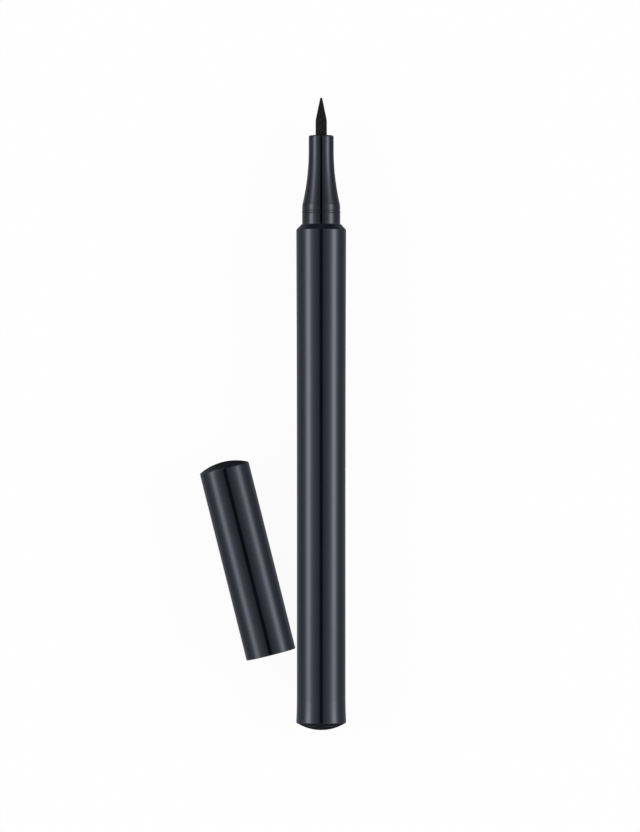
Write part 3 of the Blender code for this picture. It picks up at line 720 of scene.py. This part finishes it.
def fibre_mat():
    """Node group for felt and drawn fibres: strands along Y, ground grain, and sunk pores with painted
    shade.
    """
    if "fibre_mat" in bpy.data.node_groups:
        return bpy.data.node_groups["fibre_mat"]
    tree, given, result = new_group(
        "fibre_mat",
        [("Vector", "Vector"), ("Colour", "Color"), ("Light", "Color"), ("Scale", "Float")],
        [("Colour", "Color"), ("Roughness", "Float"), ("Height", "Float")])
    drawn = stretched(tree, given["Vector"], (1.0, STRAND_STRETCH, 1.0))
    strands = noise(tree, drawn, given["Scale"], detail=3.0, distortion=0.6)
    cells = add_node(tree, "ShaderNodeTexVoronoi", {
        "Vector": stretched(tree, given["Vector"], (1.0, CELL_STRETCH, 1.0)),
        "Scale": times(tree, given["Scale"], CELL_SCALE_SHARE)}).outputs["Distance"]
    pores = ramp(tree, cells, *PORE_RANGE)
    # The sunk pores keep the darker base colour: painted shade
    body = times(tree, ramp(tree, strands, *STRAND_RANGE), pores)
    tree.links.new(mixed(tree, body, given["Colour"], given["Light"]), result["Colour"])
    tree.links.new(ramp(tree, strands, *STRAND_ROUGHNESS_RANGE), result["Roughness"])
    tree.links.new(plus(tree, strands, times(tree, pores, PORE_DEPTH)), result["Height"])
    return tree


def axis_vector(tree, lathe):
    """Object coordinates turned and moved so that Y runs along the piece's own axis."""
    turn = math.atan2(lathe.side[1], lathe.side[0])
    coordinates = tree.nodes.new("ShaderNodeTexCoord").outputs["Object"]
    inputs = {"Vector": coordinates, "Location": lathe.origin, "Rotation": (0.0, 0.0, turn)}
    return add_node(tree, "ShaderNodeMapping", inputs, vector_type="TEXTURE").outputs["Vector"]


def patterned(name, group, lathe, group_inputs, bump, shader_inputs):
    """A Principled material whose colour, roughness and bump come from a pattern group."""
    material = bpy.data.materials.new(name)
    material.use_nodes = True
    tree = material.node_tree
    shader = tree.nodes["Principled BSDF"]
    pattern = add_node(tree, "ShaderNodeGroup", node_tree=group)
    tree.links.new(axis_vector(tree, lathe), pattern.inputs["Vector"])
    for title, value in group_inputs.items():
        pattern.inputs[title].default_value = value
    if "Edge" in pattern.inputs:
        edge = add_node(tree, "ShaderNodeAttribute", attribute_name="edge").outputs["Fac"]
        tree.links.new(edge, pattern.inputs["Edge"])
    strength, distance = bump
    relief = {"Height": pattern.outputs["Height"], "Strength": strength, "Distance": distance}
    normal = add_node(tree, "ShaderNodeBump", relief).outputs["Normal"]
    tree.links.new(pattern.outputs["Colour"], shader.inputs["Base Color"])
    tree.links.new(pattern.outputs["Roughness"], shader.inputs["Roughness"])
    tree.links.new(normal, shader.inputs["Normal"])
    for title, value in shader_inputs.items():
        shader.inputs[title].default_value = value
    return material


def plastic(name, lathe, base, roughness, skin, shader):
    """Satin moulded plastic with paler edges, from rubbed wear and a painted highlight."""
    edge = [min(1.0, skin.edge_gain * channel + skin.edge_lift) for channel in base]
    pattern = {
        "Colour": (*base, 1.0), "Edge colour": (*edge, 1.0), "Roughness": roughness,
        "Spread": skin.spread}
    return patterned(name, moulded_skin(), lathe, pattern, SKIN_BUMP, shader)


def black_plastic(name, lathe, base, roughness, ior=SHELL_IOR):
    """Black plastic with slightly blue reflections."""
    tint = bpy.context.scene.liner_finishes.skin_tint
    shader = {"IOR": ior, "Specular Tint": (*tint, 1.0)}
    return plastic(name, lathe, base, roughness, BLACK_SKIN, shader)


def plain_plastic(name, lathe, base, roughness):
    """Plastic with plain reflections, for the pieces inside."""
    return plastic(name, lathe, base, roughness, PLAIN_SKIN, {"IOR": INNER_IOR})


def felt(name, lathe, base, light_gain, scale):
    """Matt felt or drawn fibre, soaked with liquid."""
    light = [light_gain * channel for channel in base]
    pattern = {"Colour": (*base, 1.0), "Light": (*light, 1.0), "Scale": scale}
    shader = {"IOR": FELT_IOR, "Specular IOR Level": FELT_SPECULAR}
    return patterned(name, fibre_mat(), lathe, pattern, FELT_BUMP, shader)


def barrel_radius(sizes, stations):
    """Outside of the barrel, from its waist w to its end radius e: w + (e - w) f^2.

    f falls from 1 at the tail's rim to 0 at the end of the tail flare, and from 1 at the shoulder
    to 0 at the end of the front swell.
    """
    rim = domed_end(sizes.dome_radius, sizes.end_radius, TAIL_RIM_FILLET, 0)[-1, 1]
    shoulder = sizes.barrel_length - sizes.shoulder_length
    tail = 1 - (stations - rim) / sizes.tail_flare
    front = 1 - (shoulder - stations) / sizes.front_swell
    fullness = np.maximum(np.maximum(tail, front), 0) ** 2
    return sizes.waist_radius + (sizes.end_radius - sizes.waist_radius) * fullness


def bore_radius(sizes):
    """Bore of the barrel, in which the front section and the tail plug seat."""
    return sizes.collar_radius - COLLAR_SEAT


class LINER_OT_barrel(bpy.types.Operator):
    """Turn the waisted barrel with its shoulder, snap grooves and inner ribs"""
    bl_idname = "liner.barrel"
    bl_label = "Barrel"

    def execute(self, context):
        sizes, finishes = context.scene.liner_pen, context.scene.liner_finishes
        bore, mouth = bore_radius(sizes), sizes.barrel_length
        seat_radius, seat = sizes.plug_radius + FIT_GAP, PLUG_HEAD_LENGTH + FIT_GAP
        tail = domed_end(sizes.dome_radius, sizes.end_radius, TAIL_RIM_FILLET, seat_radius)
        shoulder = mouth - sizes.shoulder_length
        stations = np.linspace(tail[-1, 1], shoulder, SIDE_STEPS)[1:-1]
        side = np.column_stack([barrel_radius(sizes, stations), stations])
        ribs_front = sizes.spigot_end - RIB_END_CLEARANCE
        ribs_tail = sizes.plug_length + RIB_END_CLEARANCE
        profile = [
            plain(tail),
            plain(side),
            corner(sizes.end_radius, shoulder, SHOULDER_FILLET),
            corner(sizes.collar_radius + MOUTH_LEDGE, mouth, MOUTH_FILLET),
            corner(bore, mouth, MOUTH_FILLET),
            *reversed(snap(bore, mouth - SPIGOT_SNAP_DISTANCE, FIT_GAP)),
            corner(bore, ribs_front),
            corner(bore, ribs_front - RIB_LEAD, rib=1),
            corner(bore, ribs_tail + RIB_LEAD, rib=1),
            corner(bore, ribs_tail),
            *reversed(snap(bore, PLUG_HEAD_LENGTH + PLUG_SNAP_DISTANCE, FIT_GAP)),
            corner(bore, seat),
            corner(seat_radius, seat),
        ]
        ribs = Bars(BARREL_RIB_COUNT, BARREL_RIB_WIDTH, bore, BARREL_RIB_HEIGHT)
        piece = turned("barrel_tube", profile, PEN, ribs=ribs)
        black = black_plastic("barrel_black", PEN, finishes.barrel_colour, finishes.barrel_roughness)
        settle(piece, "pen", "gloss_black", black, "barrel", mirrored=False)
        return {"FINISHED"}


class LINER_OT_tail_plug(bpy.types.Operator):
    """Turn the domed tail plug and carry its crossed web along the axis"""
    bl_idname = "liner.tail_plug"
    bl_label = "Tail Plug"

    def execute(self, context):
        sizes, finishes = context.scene.liner_pen, context.scene.liner_finishes
        outer = bore_radius(sizes) - FIT_GAP
        inner = outer - PLUG_WALL
        end = sizes.plug_length
        dome = domed_end(sizes.dome_radius, sizes.plug_radius, PLUG_EDGE_FILLET, 0)
        profile = [
            plain(dome),
            corner(sizes.plug_radius, PLUG_HEAD_LENGTH),
            corner(outer, PLUG_HEAD_LENGTH),
            *snap(outer, PLUG_HEAD_LENGTH + PLUG_SNAP_DISTANCE),
            *slotted_end(outer, inner, end, -1),
            corner(inner, PLUG_FLOOR),
            corner(0, PLUG_FLOOR),
        ]
        slots = Bars(SLOT_COUNT, SLOT_WIDTH, outer, -SLOT_LENGTH)
        piece = turned("tail_plug_body", profile, PEN, slots=slots)
        black = black_plastic("plug_black", PEN, finishes.plug_colour, finishes.plug_roughness)
        settle(piece, "pen", "plug_black", black, "tail_plug")
        web = self.crossed_web(inner - TOUCH_GAP, PLUG_FLOOR + TOUCH_GAP, end)
        settle(web, "pen", "plug_black", black, "tail_plug")
        return {"FINISHED"}

    def crossed_web(self, radius, low, high):
        """A cross of two plates, carried straight along the axis from low to high.

        Its outline in plan goes round the four arms. Each arm gives two outer corners and the
        inner corner before the next arm, turned by an eighth and then by quarters of a turn.
        """
        half = PLATE_WIDTH / 2
        tip = math.sqrt(radius ** 2 - half ** 2)
        arm = np.array((tip - 1j * half, tip + 1j * half, half + 1j * half))
        turns = np.exp(1j * math.tau * (WEB_PHASE_SHARE + np.arange(SLOT_COUNT)) / SLOT_COUNT)
        outline = (turns[:, None] * arm).ravel()
        across = outline.real[:, None] * PEN.side + outline.imag[:, None] * PEN.up
        points = np.vstack([PEN.origin + station * PEN.along + across for station in (low, high)])
        index = np.arange(len(points)).reshape(2, -1)
        faces = grid_faces(index) + [index[0, ::-1].tolist(), index[1].tolist()]
        return add_surface("tail_plug_web", points, faces)


class LINER_OT_front_section(bpy.types.Operator):
    """Turn the neck, flare, collar, click bead and slotted spigot"""
    bl_idname = "liner.front_section"
    bl_label = "Front Section"

    def execute(self, context):
        sizes, finishes = context.scene.liner_pen, context.scene.liner_finishes
        mouth, nose = sizes.barrel_length, sizes.nose
        collar, foot = sizes.collar_radius, mouth + sizes.collar_length
        nib_bore = sizes.nib_radius + FIT_GAP
        holder_bore = nib_bore + HOLDER_WALL + FIT_GAP
        outer = bore_radius(sizes) - FIT_GAP
        inner = outer - SPIGOT_WALL
        share = np.linspace(0, 1, CURVE_STEPS)
        flare_radii = sizes.neck_radius + (collar - FLARE_STEP - sizes.neck_radius) * share ** 2
        flare = np.column_stack([flare_radii, foot + sizes.flare_length * (1 - share)])
        bead = mouth + BEAD_DISTANCE
        crest = snap_ring(collar, BEAD_HEIGHT, BEAD_WIDTH, bead, BEAD_CREST_SHARE, BEAD_FILLET)
        groove_radius = collar - BEAD_GROOVE_DEPTH
        groove_front, groove_back = bead + BEAD_WIDTH / 2, bead - BEAD_WIDTH / 2
        underside = mouth + COLLAR_GAP
        profile = [
            corner(nib_bore, nose, NOSE_MOUTH_FILLET),
            corner(sizes.neck_radius, nose, NOSE_FILLET),
            plain(flare),
            corner(collar, groove_front + BEAD_GROOVE_FRONT, BEAD_FILLET),
            corner(groove_radius, groove_front, BEAD_FILLET),
            crest[2],
            crest[1],
            corner(groove_radius, groove_back, BEAD_FILLET),
            corner(collar, groove_back - BEAD_GROOVE_BACK, BEAD_FILLET),
            corner(collar, underside, COLLAR_EDGE_FILLET),
            corner(outer, underside),
            *reversed(snap(outer, mouth - SPIGOT_SNAP_DISTANCE)),
            *slotted_end(outer, inner, sizes.spigot_end, 1),
            corner(inner, foot),
            corner(holder_bore, foot + INNER_CONE_LENGTH),
            corner(holder_bore, nose - NOSE_LAND),
            corner(nib_bore, nose - NOSE_LAND),
        ]
        slots = Bars(SLOT_COUNT, SLOT_WIDTH, outer, SLOT_LENGTH)
        piece = turned("front_section_body", profile, PEN, slots=slots)
        black = black_plastic(
            "neck_black", PEN, finishes.front_colour, finishes.front_roughness, FRONT_IOR)
        settle(piece, "pen", "neck_black", black, "front_section")
        return {"FINISHED"}


class LINER_OT_nib(bpy.types.Operator):
    """Turn the felt nib, with the uneven skin that grinding leaves"""
    bl_idname = "liner.nib"
    bl_label = "Nib"

    def execute(self, context):
        sizes, finishes = context.scene.liner_pen, context.scene.liner_finishes
        run = sizes.point_length - sizes.tip_radius
        slope = math.atan2(sizes.nib_radius, run) - math.asin(
            sizes.tip_radius / math.hypot(sizes.nib_radius, run))
        tip_angles = np.linspace(math.pi / 2, slope, ARC_STEPS)
        ball = np.column_stack([
            sizes.tip_radius * np.cos(tip_angles),
            sizes.nib_tip - sizes.tip_radius * (1 - np.sin(tip_angles))])
        ball[0, 0] = 0
        profile = [
            plain(ball),
            corner(sizes.nib_radius, sizes.nib_tip - sizes.point_length, NIB_SHOULDER_FILLET),
            corner(sizes.nib_radius, sizes.nib_tail, NIB_TAIL_FILLET),
            corner(0, sizes.nib_tail),
        ]
        piece = turned("nib_felt", profile, PEN, NIB_SEGMENTS, fuzz=self.ground_skin)
        black = felt("felt_black", PEN, finishes.nib_colour, NIB_LIGHT, NIB_SCALE)
        settle(piece, "pen", "felt_black", black, "nib")
        return {"FINISHED"}

    def ground_skin(self, angles, stations, radii):
        """Uneven height of the skin: a seeded sum of waves cos(m a + 2 pi s / p + phase).

        m is a whole number of waves round the nib and p a pitch along it, and the sum fades with
        the radius, so that the tip stays one point.
        """
        chance = np.random.default_rng(FUZZ_SEED)
        rounds = chance.integers(*FUZZ_TURNS, FUZZ_WAVES)[:, None, None]
        pitches = chance.uniform(*FUZZ_PITCH, FUZZ_WAVES)[:, None, None]
        phases = chance.uniform(0, math.tau, FUZZ_WAVES)[:, None, None]
        waves = np.cos(rounds * angles + math.tau * stations / pitches + phases).sum(axis=0)
        return FUZZ_HEIGHT * waves / math.sqrt(FUZZ_WAVES) * radii / radii.max()


class LINER_OT_inner_pieces(bpy.types.Operator):
    """Finish the nib holder, the fibre rod and its film, which keep their CAD shapes"""
    bl_idname = "liner.inner_pieces"
    bl_label = "Inner Pieces"

    def execute(self, context):
        finishes = context.scene.liner_finishes
        materials = {
            "nib_holder": plain_plastic(
                "natural_white", PEN, finishes.holder_colour, finishes.holder_roughness),
            "reservoir_core": felt("fibre", PEN, finishes.core_colour, CORE_LIGHT, CORE_SCALE),
            "reservoir_film": plain_plastic(
                "film", PEN, finishes.film_colour, finishes.film_roughness),
        }
        for node, material in materials.items():
            mesh = frame["nodes"][node].data
            mesh.materials.clear()
            mesh.materials.append(material)
            frame["nodes"][node].visible_glossy = False
        return {"FINISHED"}


class LINER_OT_cap_shell(bpy.types.Operator):
    """Turn the domed cap with its click ring and the ribs that grip its liner"""
    bl_idname = "liner.cap_shell"
    bl_label = "Cap Shell"

    def execute(self, context):
        sizes, finishes = context.scene.liner_cap, context.scene.liner_finishes
        crown = domed_end(sizes.dome_radius, sizes.cap_radius, sizes.corner_fillet, 0)
        crown[:, 1] = sizes.cap_length - crown[:, 1]
        bore, dome_centre = sizes.bore_radius, sizes.cap_length - sizes.dome_radius
        inner_radii = bore * np.linspace(1, 0, CURVE_STEPS)
        inner_dome = sizes.dome_radius - sizes.end_wall
        inner_stations = dome_centre + np.sqrt(inner_dome ** 2 - inner_radii ** 2)
        inner_crown = np.column_stack([inner_radii, inner_stations])
        click_height = context.scene.liner_pen.collar_radius + TOUCH_GAP - bore
        click = snap_ring(bore, click_height, CLICK_WIDTH, sizes.click_station, CLICK_CREST_SHARE)
        profile = [
            plain(crown),
            corner(sizes.cap_radius, 0, CAP_RIM_FILLET),
            corner(bore + CAP_RIM_CHAMFER, 0, MOUTH_FILLET),
            corner(bore, CAP_RIM_CHAMFER, MOUTH_FILLET),
            *click,
            corner(bore, sizes.liner_mouth),
            corner(bore, sizes.liner_mouth + RIB_LEAD, rib=1),
            corner(bore, inner_stations[0] - RIB_LEAD, rib=1),
            plain(inner_crown),
        ]
        ribs = Bars(LINER_RIB_COUNT, LINER_RIB_WIDTH, bore, LINER_RIB_HEIGHT)
        piece = turned("cap_body", profile, CAP, ribs=ribs)
        black = black_plastic("cap_black", CAP, finishes.cap_colour, finishes.cap_roughness, CAP_IOR)
        settle(piece, "cap", "cap_black", black, "cap_shell", mirrored=False)
        return {"FINISHED"}


class LINER_OT_cap_liner(bpy.types.Operator):
    """Turn the inner cap with its sealing lip, floor and skirt"""
    bl_idname = "liner.cap_liner"
    bl_label = "Cap Liner"

    def execute(self, context):
        sizes, pen = context.scene.liner_cap, context.scene.liner_pen
        finishes = context.scene.liner_finishes
        bore = pen.neck_radius + LINER_NECK_CLEARANCE
        lip_height = pen.neck_radius + TOUCH_GAP - bore
        floor_back = sizes.tip_station + LINER_FLOOR
        lip = snap_ring(
            bore, lip_height, LINER_LIP_WIDTH, sizes.lip_station, LINER_LIP_CREST_SHARE, LINER_LIP_FILLET)
        profile = [
            corner(0, floor_back),
            corner(bore, floor_back),
            corner(bore, sizes.liner_back),
            corner(sizes.liner_radius, sizes.liner_back),
            corner(sizes.liner_radius, sizes.liner_mouth, LINER_MOUTH_FILLET),
            corner(bore, sizes.liner_mouth, LINER_MOUTH_FILLET),
            *lip,
            corner(bore, sizes.tip_station),
            corner(0, sizes.tip_station),
        ]
        piece = turned("cap_liner_cup", profile, CAP)
        grey = plain_plastic("liner_grey", CAP, finishes.liner_colour, finishes.liner_roughness)
        settle(piece, "cap", "liner_grey", grey, "cap_liner", mirrored=False)
        return {"FINISHED"}


class LINER_OT_stage(bpy.types.Operator):
    """Set up the floor, the studio's glow, two strip lamps and the camera"""
    bl_idname = "liner.stage"
    bl_label = "Stage"

    def execute(self, context):
        studio = context.scene.liner_studio
        context.scene.view_settings.view_transform = "Standard"
        self.add_floor(studio)
        self.add_world(context.scene, studio)
        self.add_lamp("strip_lamp_left", -1, studio)
        self.add_lamp("strip_lamp_right", 1, studio)
        self.add_camera(context.scene, studio)
        return {"FINISHED"}

    def white_share(self, tree, share):
        """How much plain white the camera sees, also through a see-through piece."""
        path = tree.nodes.new("ShaderNodeLightPath").outputs
        seen = maths(tree, "MAXIMUM", path["Is Camera Ray"], path["Is Transmission Ray"])
        return times(tree, seen, share)

    def add_floor(self, studio):
        """A flat square under the object, with points (x, y, 0) on an even grid."""
        half = studio.floor_size / 2
        across = np.linspace(-half, half, FLOOR_POINTS)
        grid = np.stack(np.meshgrid(across, across, [0.0], indexing="ij"), axis=-1).reshape(-1, 3)
        index = np.arange(len(grid)).reshape(FLOOR_POINTS, -1)
        corners = (index[:-1, :-1], index[1:, :-1], index[1:, 1:], index[:-1, 1:])
        mesh = bpy.data.meshes.new("floor")
        mesh.from_pydata(grid.tolist(), [], np.stack(corners, axis=-1).reshape(-1, 4).tolist())
        mesh.materials.append(self.white_paper(studio))
        floor = bpy.data.objects.new("floor", mesh)
        bpy.context.scene.collection.objects.link(floor)
        floor.visible_glossy = False

    def white_paper(self, studio):
        """The floor's material: matt, and nearly plain white for the camera."""
        material = bpy.data.materials.new("floor_white")
        material.use_nodes = True
        tree = material.node_tree
        tree.nodes.clear()
        base = {"Color": (*studio.floor_colour, 1.0)}
        paper = add_node(tree, "ShaderNodeBsdfDiffuse", base).outputs[0]
        white = add_node(tree, "ShaderNodeEmission", {"Strength": 1.0}).outputs[0]
        share = self.white_share(tree, studio.floor_white)
        shown = add_node(tree, "ShaderNodeMixShader", {0: share, 1: paper, 2: white}).outputs[0]
        add_node(tree, "ShaderNodeOutputMaterial", {"Surface": shown})
        return material

    def add_world(self, scene, studio):
        """The studio round the object, by direction, with white behind it for the camera.

        Light from low down to either side has a slight tint.
        """
        world = bpy.data.worlds.new("studio")
        world.use_nodes = True
        scene.world = world
        tree = world.node_tree
        tree.nodes.clear()
        heading = self.heading(tree)
        white = (1.0, 1.0, 1.0, 1.0)
        lowness = ramp(tree, heading.tilt, studio.low_start, studio.low_end)
        tint = mixed(tree, lowness, white, (*studio.low_tint, 1.0))
        open_share = self.open_share(tree, heading, studio)
        strength = times(tree, self.radiance(tree, heading, studio), open_share)
        inputs = {"Color": tint, "Strength": strength}
        studio_light = add_node(tree, "ShaderNodeBackground", inputs).outputs[0]
        backdrop = add_node(tree, "ShaderNodeBackground", {"Color": white, "Strength": 1.0}).outputs[0]
        share = self.white_share(tree, 1.0)
        inputs = {0: share, 1: studio_light, 2: backdrop}
        shown = add_node(tree, "ShaderNodeMixShader", inputs).outputs[0]
        add_node(tree, "ShaderNodeOutputWorld", {"Surface": shown})

    def heading(self, tree):
        """Where a direction points, as sockets.

        tilt is its angle from straight up to either side, lean its angle towards the nib, and
        turn the same angle as seen from above. beside and height are how far it goes sideways and
        up, and on_left is 1 to the left and 0 to the right.
        """
        direction = tree.nodes.new("ShaderNodeTexCoord").outputs["Generated"]
        x, y, z = add_node(tree, "ShaderNodeSeparateXYZ", {0: direction}).outputs
        beside = maths(tree, "ABSOLUTE", x)
        return Heading(
            tilt=maths(tree, "ARCTAN2", beside, z),
            lean=maths(tree, "ARCSINE", y),
            turn=maths(tree, "ARCTAN2", y, beside),
            beside=beside,
            height=z,
            on_left=maths(tree, "LESS_THAN", x, 0.0))

    def strip_glow(self, tree, heading, studio):
        """Glow of the two strip lights: exp(-((tilt - angle) / spread)^2) exp(-|lean| / fall).

        Both have a short dim break towards the tail, and the right one fades towards the nib.
        """
        lean = heading.lean
        across = self.bell(tree, heading.tilt, studio.strip_angle, studio.strip_spread)
        fallen = maths(tree, "DIVIDE", maths(tree, "ABSOLUTE", lean), -studio.strip_fall)
        along = maths(tree, "EXPONENT", fallen)
        before = ramp(tree, lean, -studio.break_full, -studio.break_start, studio.break_level, 1.0)
        after = ramp(tree, lean, -studio.break_over, -studio.break_end, 1.0, studio.break_level)
        unbroken = maths(tree, "MAXIMUM", before, after)
        faded = ramp(tree, heading.turn, studio.fade_start, studio.fade_end, 1.0, studio.fade_level)
        unfaded = maths(tree, "MAXIMUM", faded, heading.on_left)
        return times(tree, across, along, unbroken, unfaded, studio.strip_glow)

    def radiance(self, tree, heading, studio):
        """The strips and a wider haze, exp(-((tilt - angle) / spread)^2), over an even dome.

        All of it fades towards the pen's two ends, and a little low down to the right.
        """
        haze = self.bell(tree, heading.tilt, studio.haze_angle, studio.haze_spread)
        strips = self.strip_glow(tree, heading, studio)
        glow = plus(tree, strips, times(tree, haze, studio.haze_glow), studio.dome_level)
        end_tilt = maths(tree, "ABSOLUTE", heading.lean)
        ends = ramp(tree, end_tilt, 0.0, math.pi / 2, 1.0, studio.dome_ends)
        right = ramp(tree, heading.tilt, studio.low_start, studio.low_end, 1.0, studio.right_level)
        return times(tree, glow, ends, maths(tree, "MAXIMUM", right, heading.on_left))

    def open_share(self, tree, heading, studio):
        """Share of the light that is left: none along a narrow gap overhead, and less below.

        What lies below the floor's level stands for the floor in reflections: it darkens towards
        straight below, in step with the height, apart from what lies well to either side.
        """
        gap = ramp(tree, heading.tilt, studio.gap_start, studio.gap_end)
        low = ramp(tree, heading.height, -1.0, 0.0, smooth=False)
        lit = ramp(tree, heading.beside, math.sin(studio.shade_start), math.sin(studio.shade_end))
        return times(tree, gap, maths(tree, "MAXIMUM", low, lit))

    def bell(self, tree, value, middle, spread):
        """A smooth fall from 1 in the middle: exp(-((value - middle) / spread)^2)."""
        offset = maths(tree, "DIVIDE", maths(tree, "SUBTRACT", value, middle), spread)
        return maths(tree, "EXPONENT", times(tree, offset, offset, -1.0))

    def add_lamp(self, name, side, studio):
        """A long strip lamp to one side, facing the pen and running along it."""
        lamp = bpy.data.lights.new(name, "AREA")
        lamp.shape = "RECTANGLE"
        lamp.size = studio.lamp_width
        lamp.size_y = studio.lamp_length
        lamp.energy = studio.lamp_power
        placed = bpy.data.objects.new(name, lamp)
        tilt = side * studio.strip_angle
        placed.location = (
            studio.lamp_distance * math.sin(tilt), 0.0, studio.lamp_distance * math.cos(tilt))
        placed.rotation_euler = (0.0, tilt, 0.0)
        placed.visible_camera = False
        placed.visible_glossy = False
        bpy.context.scene.collection.objects.link(placed)

    def add_camera(self, scene, studio):
        """A camera that looks straight down, with the pen where the photograph has it."""
        camera = bpy.data.cameras.new("camera")
        camera.sensor_width = SENSOR_SIZE
        camera.lens = SENSOR_SIZE * studio.camera_height / (IMAGE_HEIGHT * PIXEL_SIZE)
        camera.clip_start = NEAR_CLIP * studio.camera_height
        camera.clip_end = FAR_CLIP * studio.camera_height
        placed = bpy.data.objects.new("camera", camera)
        x = PEN.origin[0] - (PEN_AXIS_PIXEL - IMAGE_WIDTH / 2) * PIXEL_SIZE
        y = PEN.origin[1] + (TAIL_APEX_PIXEL - IMAGE_HEIGHT / 2) * PIXEL_SIZE
        placed.location = (x, y, PEN.origin[2] + studio.camera_height)
        scene.collection.objects.link(placed)
        scene.camera = placed


class LINER_PT_panel(bpy.types.Panel):
    """Buttons for the pieces and the stage, over their sizes and finishes"""
    bl_idname = "LINER_PT_panel"
    bl_label = "Eyeliner Pen"
    bl_space_type = "VIEW_3D"
    bl_region_type = "UI"
    bl_category = "Eyeliner Pen"

    def draw(self, context):
        for operator in OPERATORS:
            self.layout.operator(operator.bl_idname)
        for attribute, group in GROUPS.items():
            box = self.layout.box()
            box.label(text=group.__doc__.rstrip("."))
            for name in group.__annotations__:
                box.prop(getattr(context.scene, attribute), name)


GROUPS = {
    "liner_pen": PenSizes,
    "liner_cap": CapSizes,
    "liner_finishes": Finishes,
    "liner_studio": Studio,
}
OPERATORS = (
    LINER_OT_barrel,
    LINER_OT_tail_plug,
    LINER_OT_front_section,
    LINER_OT_nib,
    LINER_OT_inner_pieces,
    LINER_OT_cap_shell,
    LINER_OT_cap_liner,
    LINER_OT_stage,
)


def register():
    """Register the classes, and give every scene the property groups."""
    for kind in (*GROUPS.values(), *OPERATORS, LINER_PT_panel):
        bpy.utils.register_class(kind)
    for attribute, group in GROUPS.items():
        setattr(bpy.types.Scene, attribute, bpy.props.PointerProperty(type=group))


def unregister():
    """Take the property groups off the scenes, and the classes out, last one first."""
    for attribute in GROUPS:
        delattr(bpy.types.Scene, attribute)
    for kind in (LINER_PT_panel, *reversed(OPERATORS), *reversed(GROUPS.values())):
        bpy.utils.unregister_class(kind)


def main():
    """Register the add-on, and build every piece and the stage."""
    register()
    bpy.ops.liner.barrel()
    bpy.ops.liner.tail_plug()
    bpy.ops.liner.front_section()
    bpy.ops.liner.nib()
    bpy.ops.liner.inner_pieces()
    bpy.ops.liner.cap_shell()
    bpy.ops.liner.cap_liner()
    bpy.ops.liner.stage()


if __name__ == "__main__":
    main()
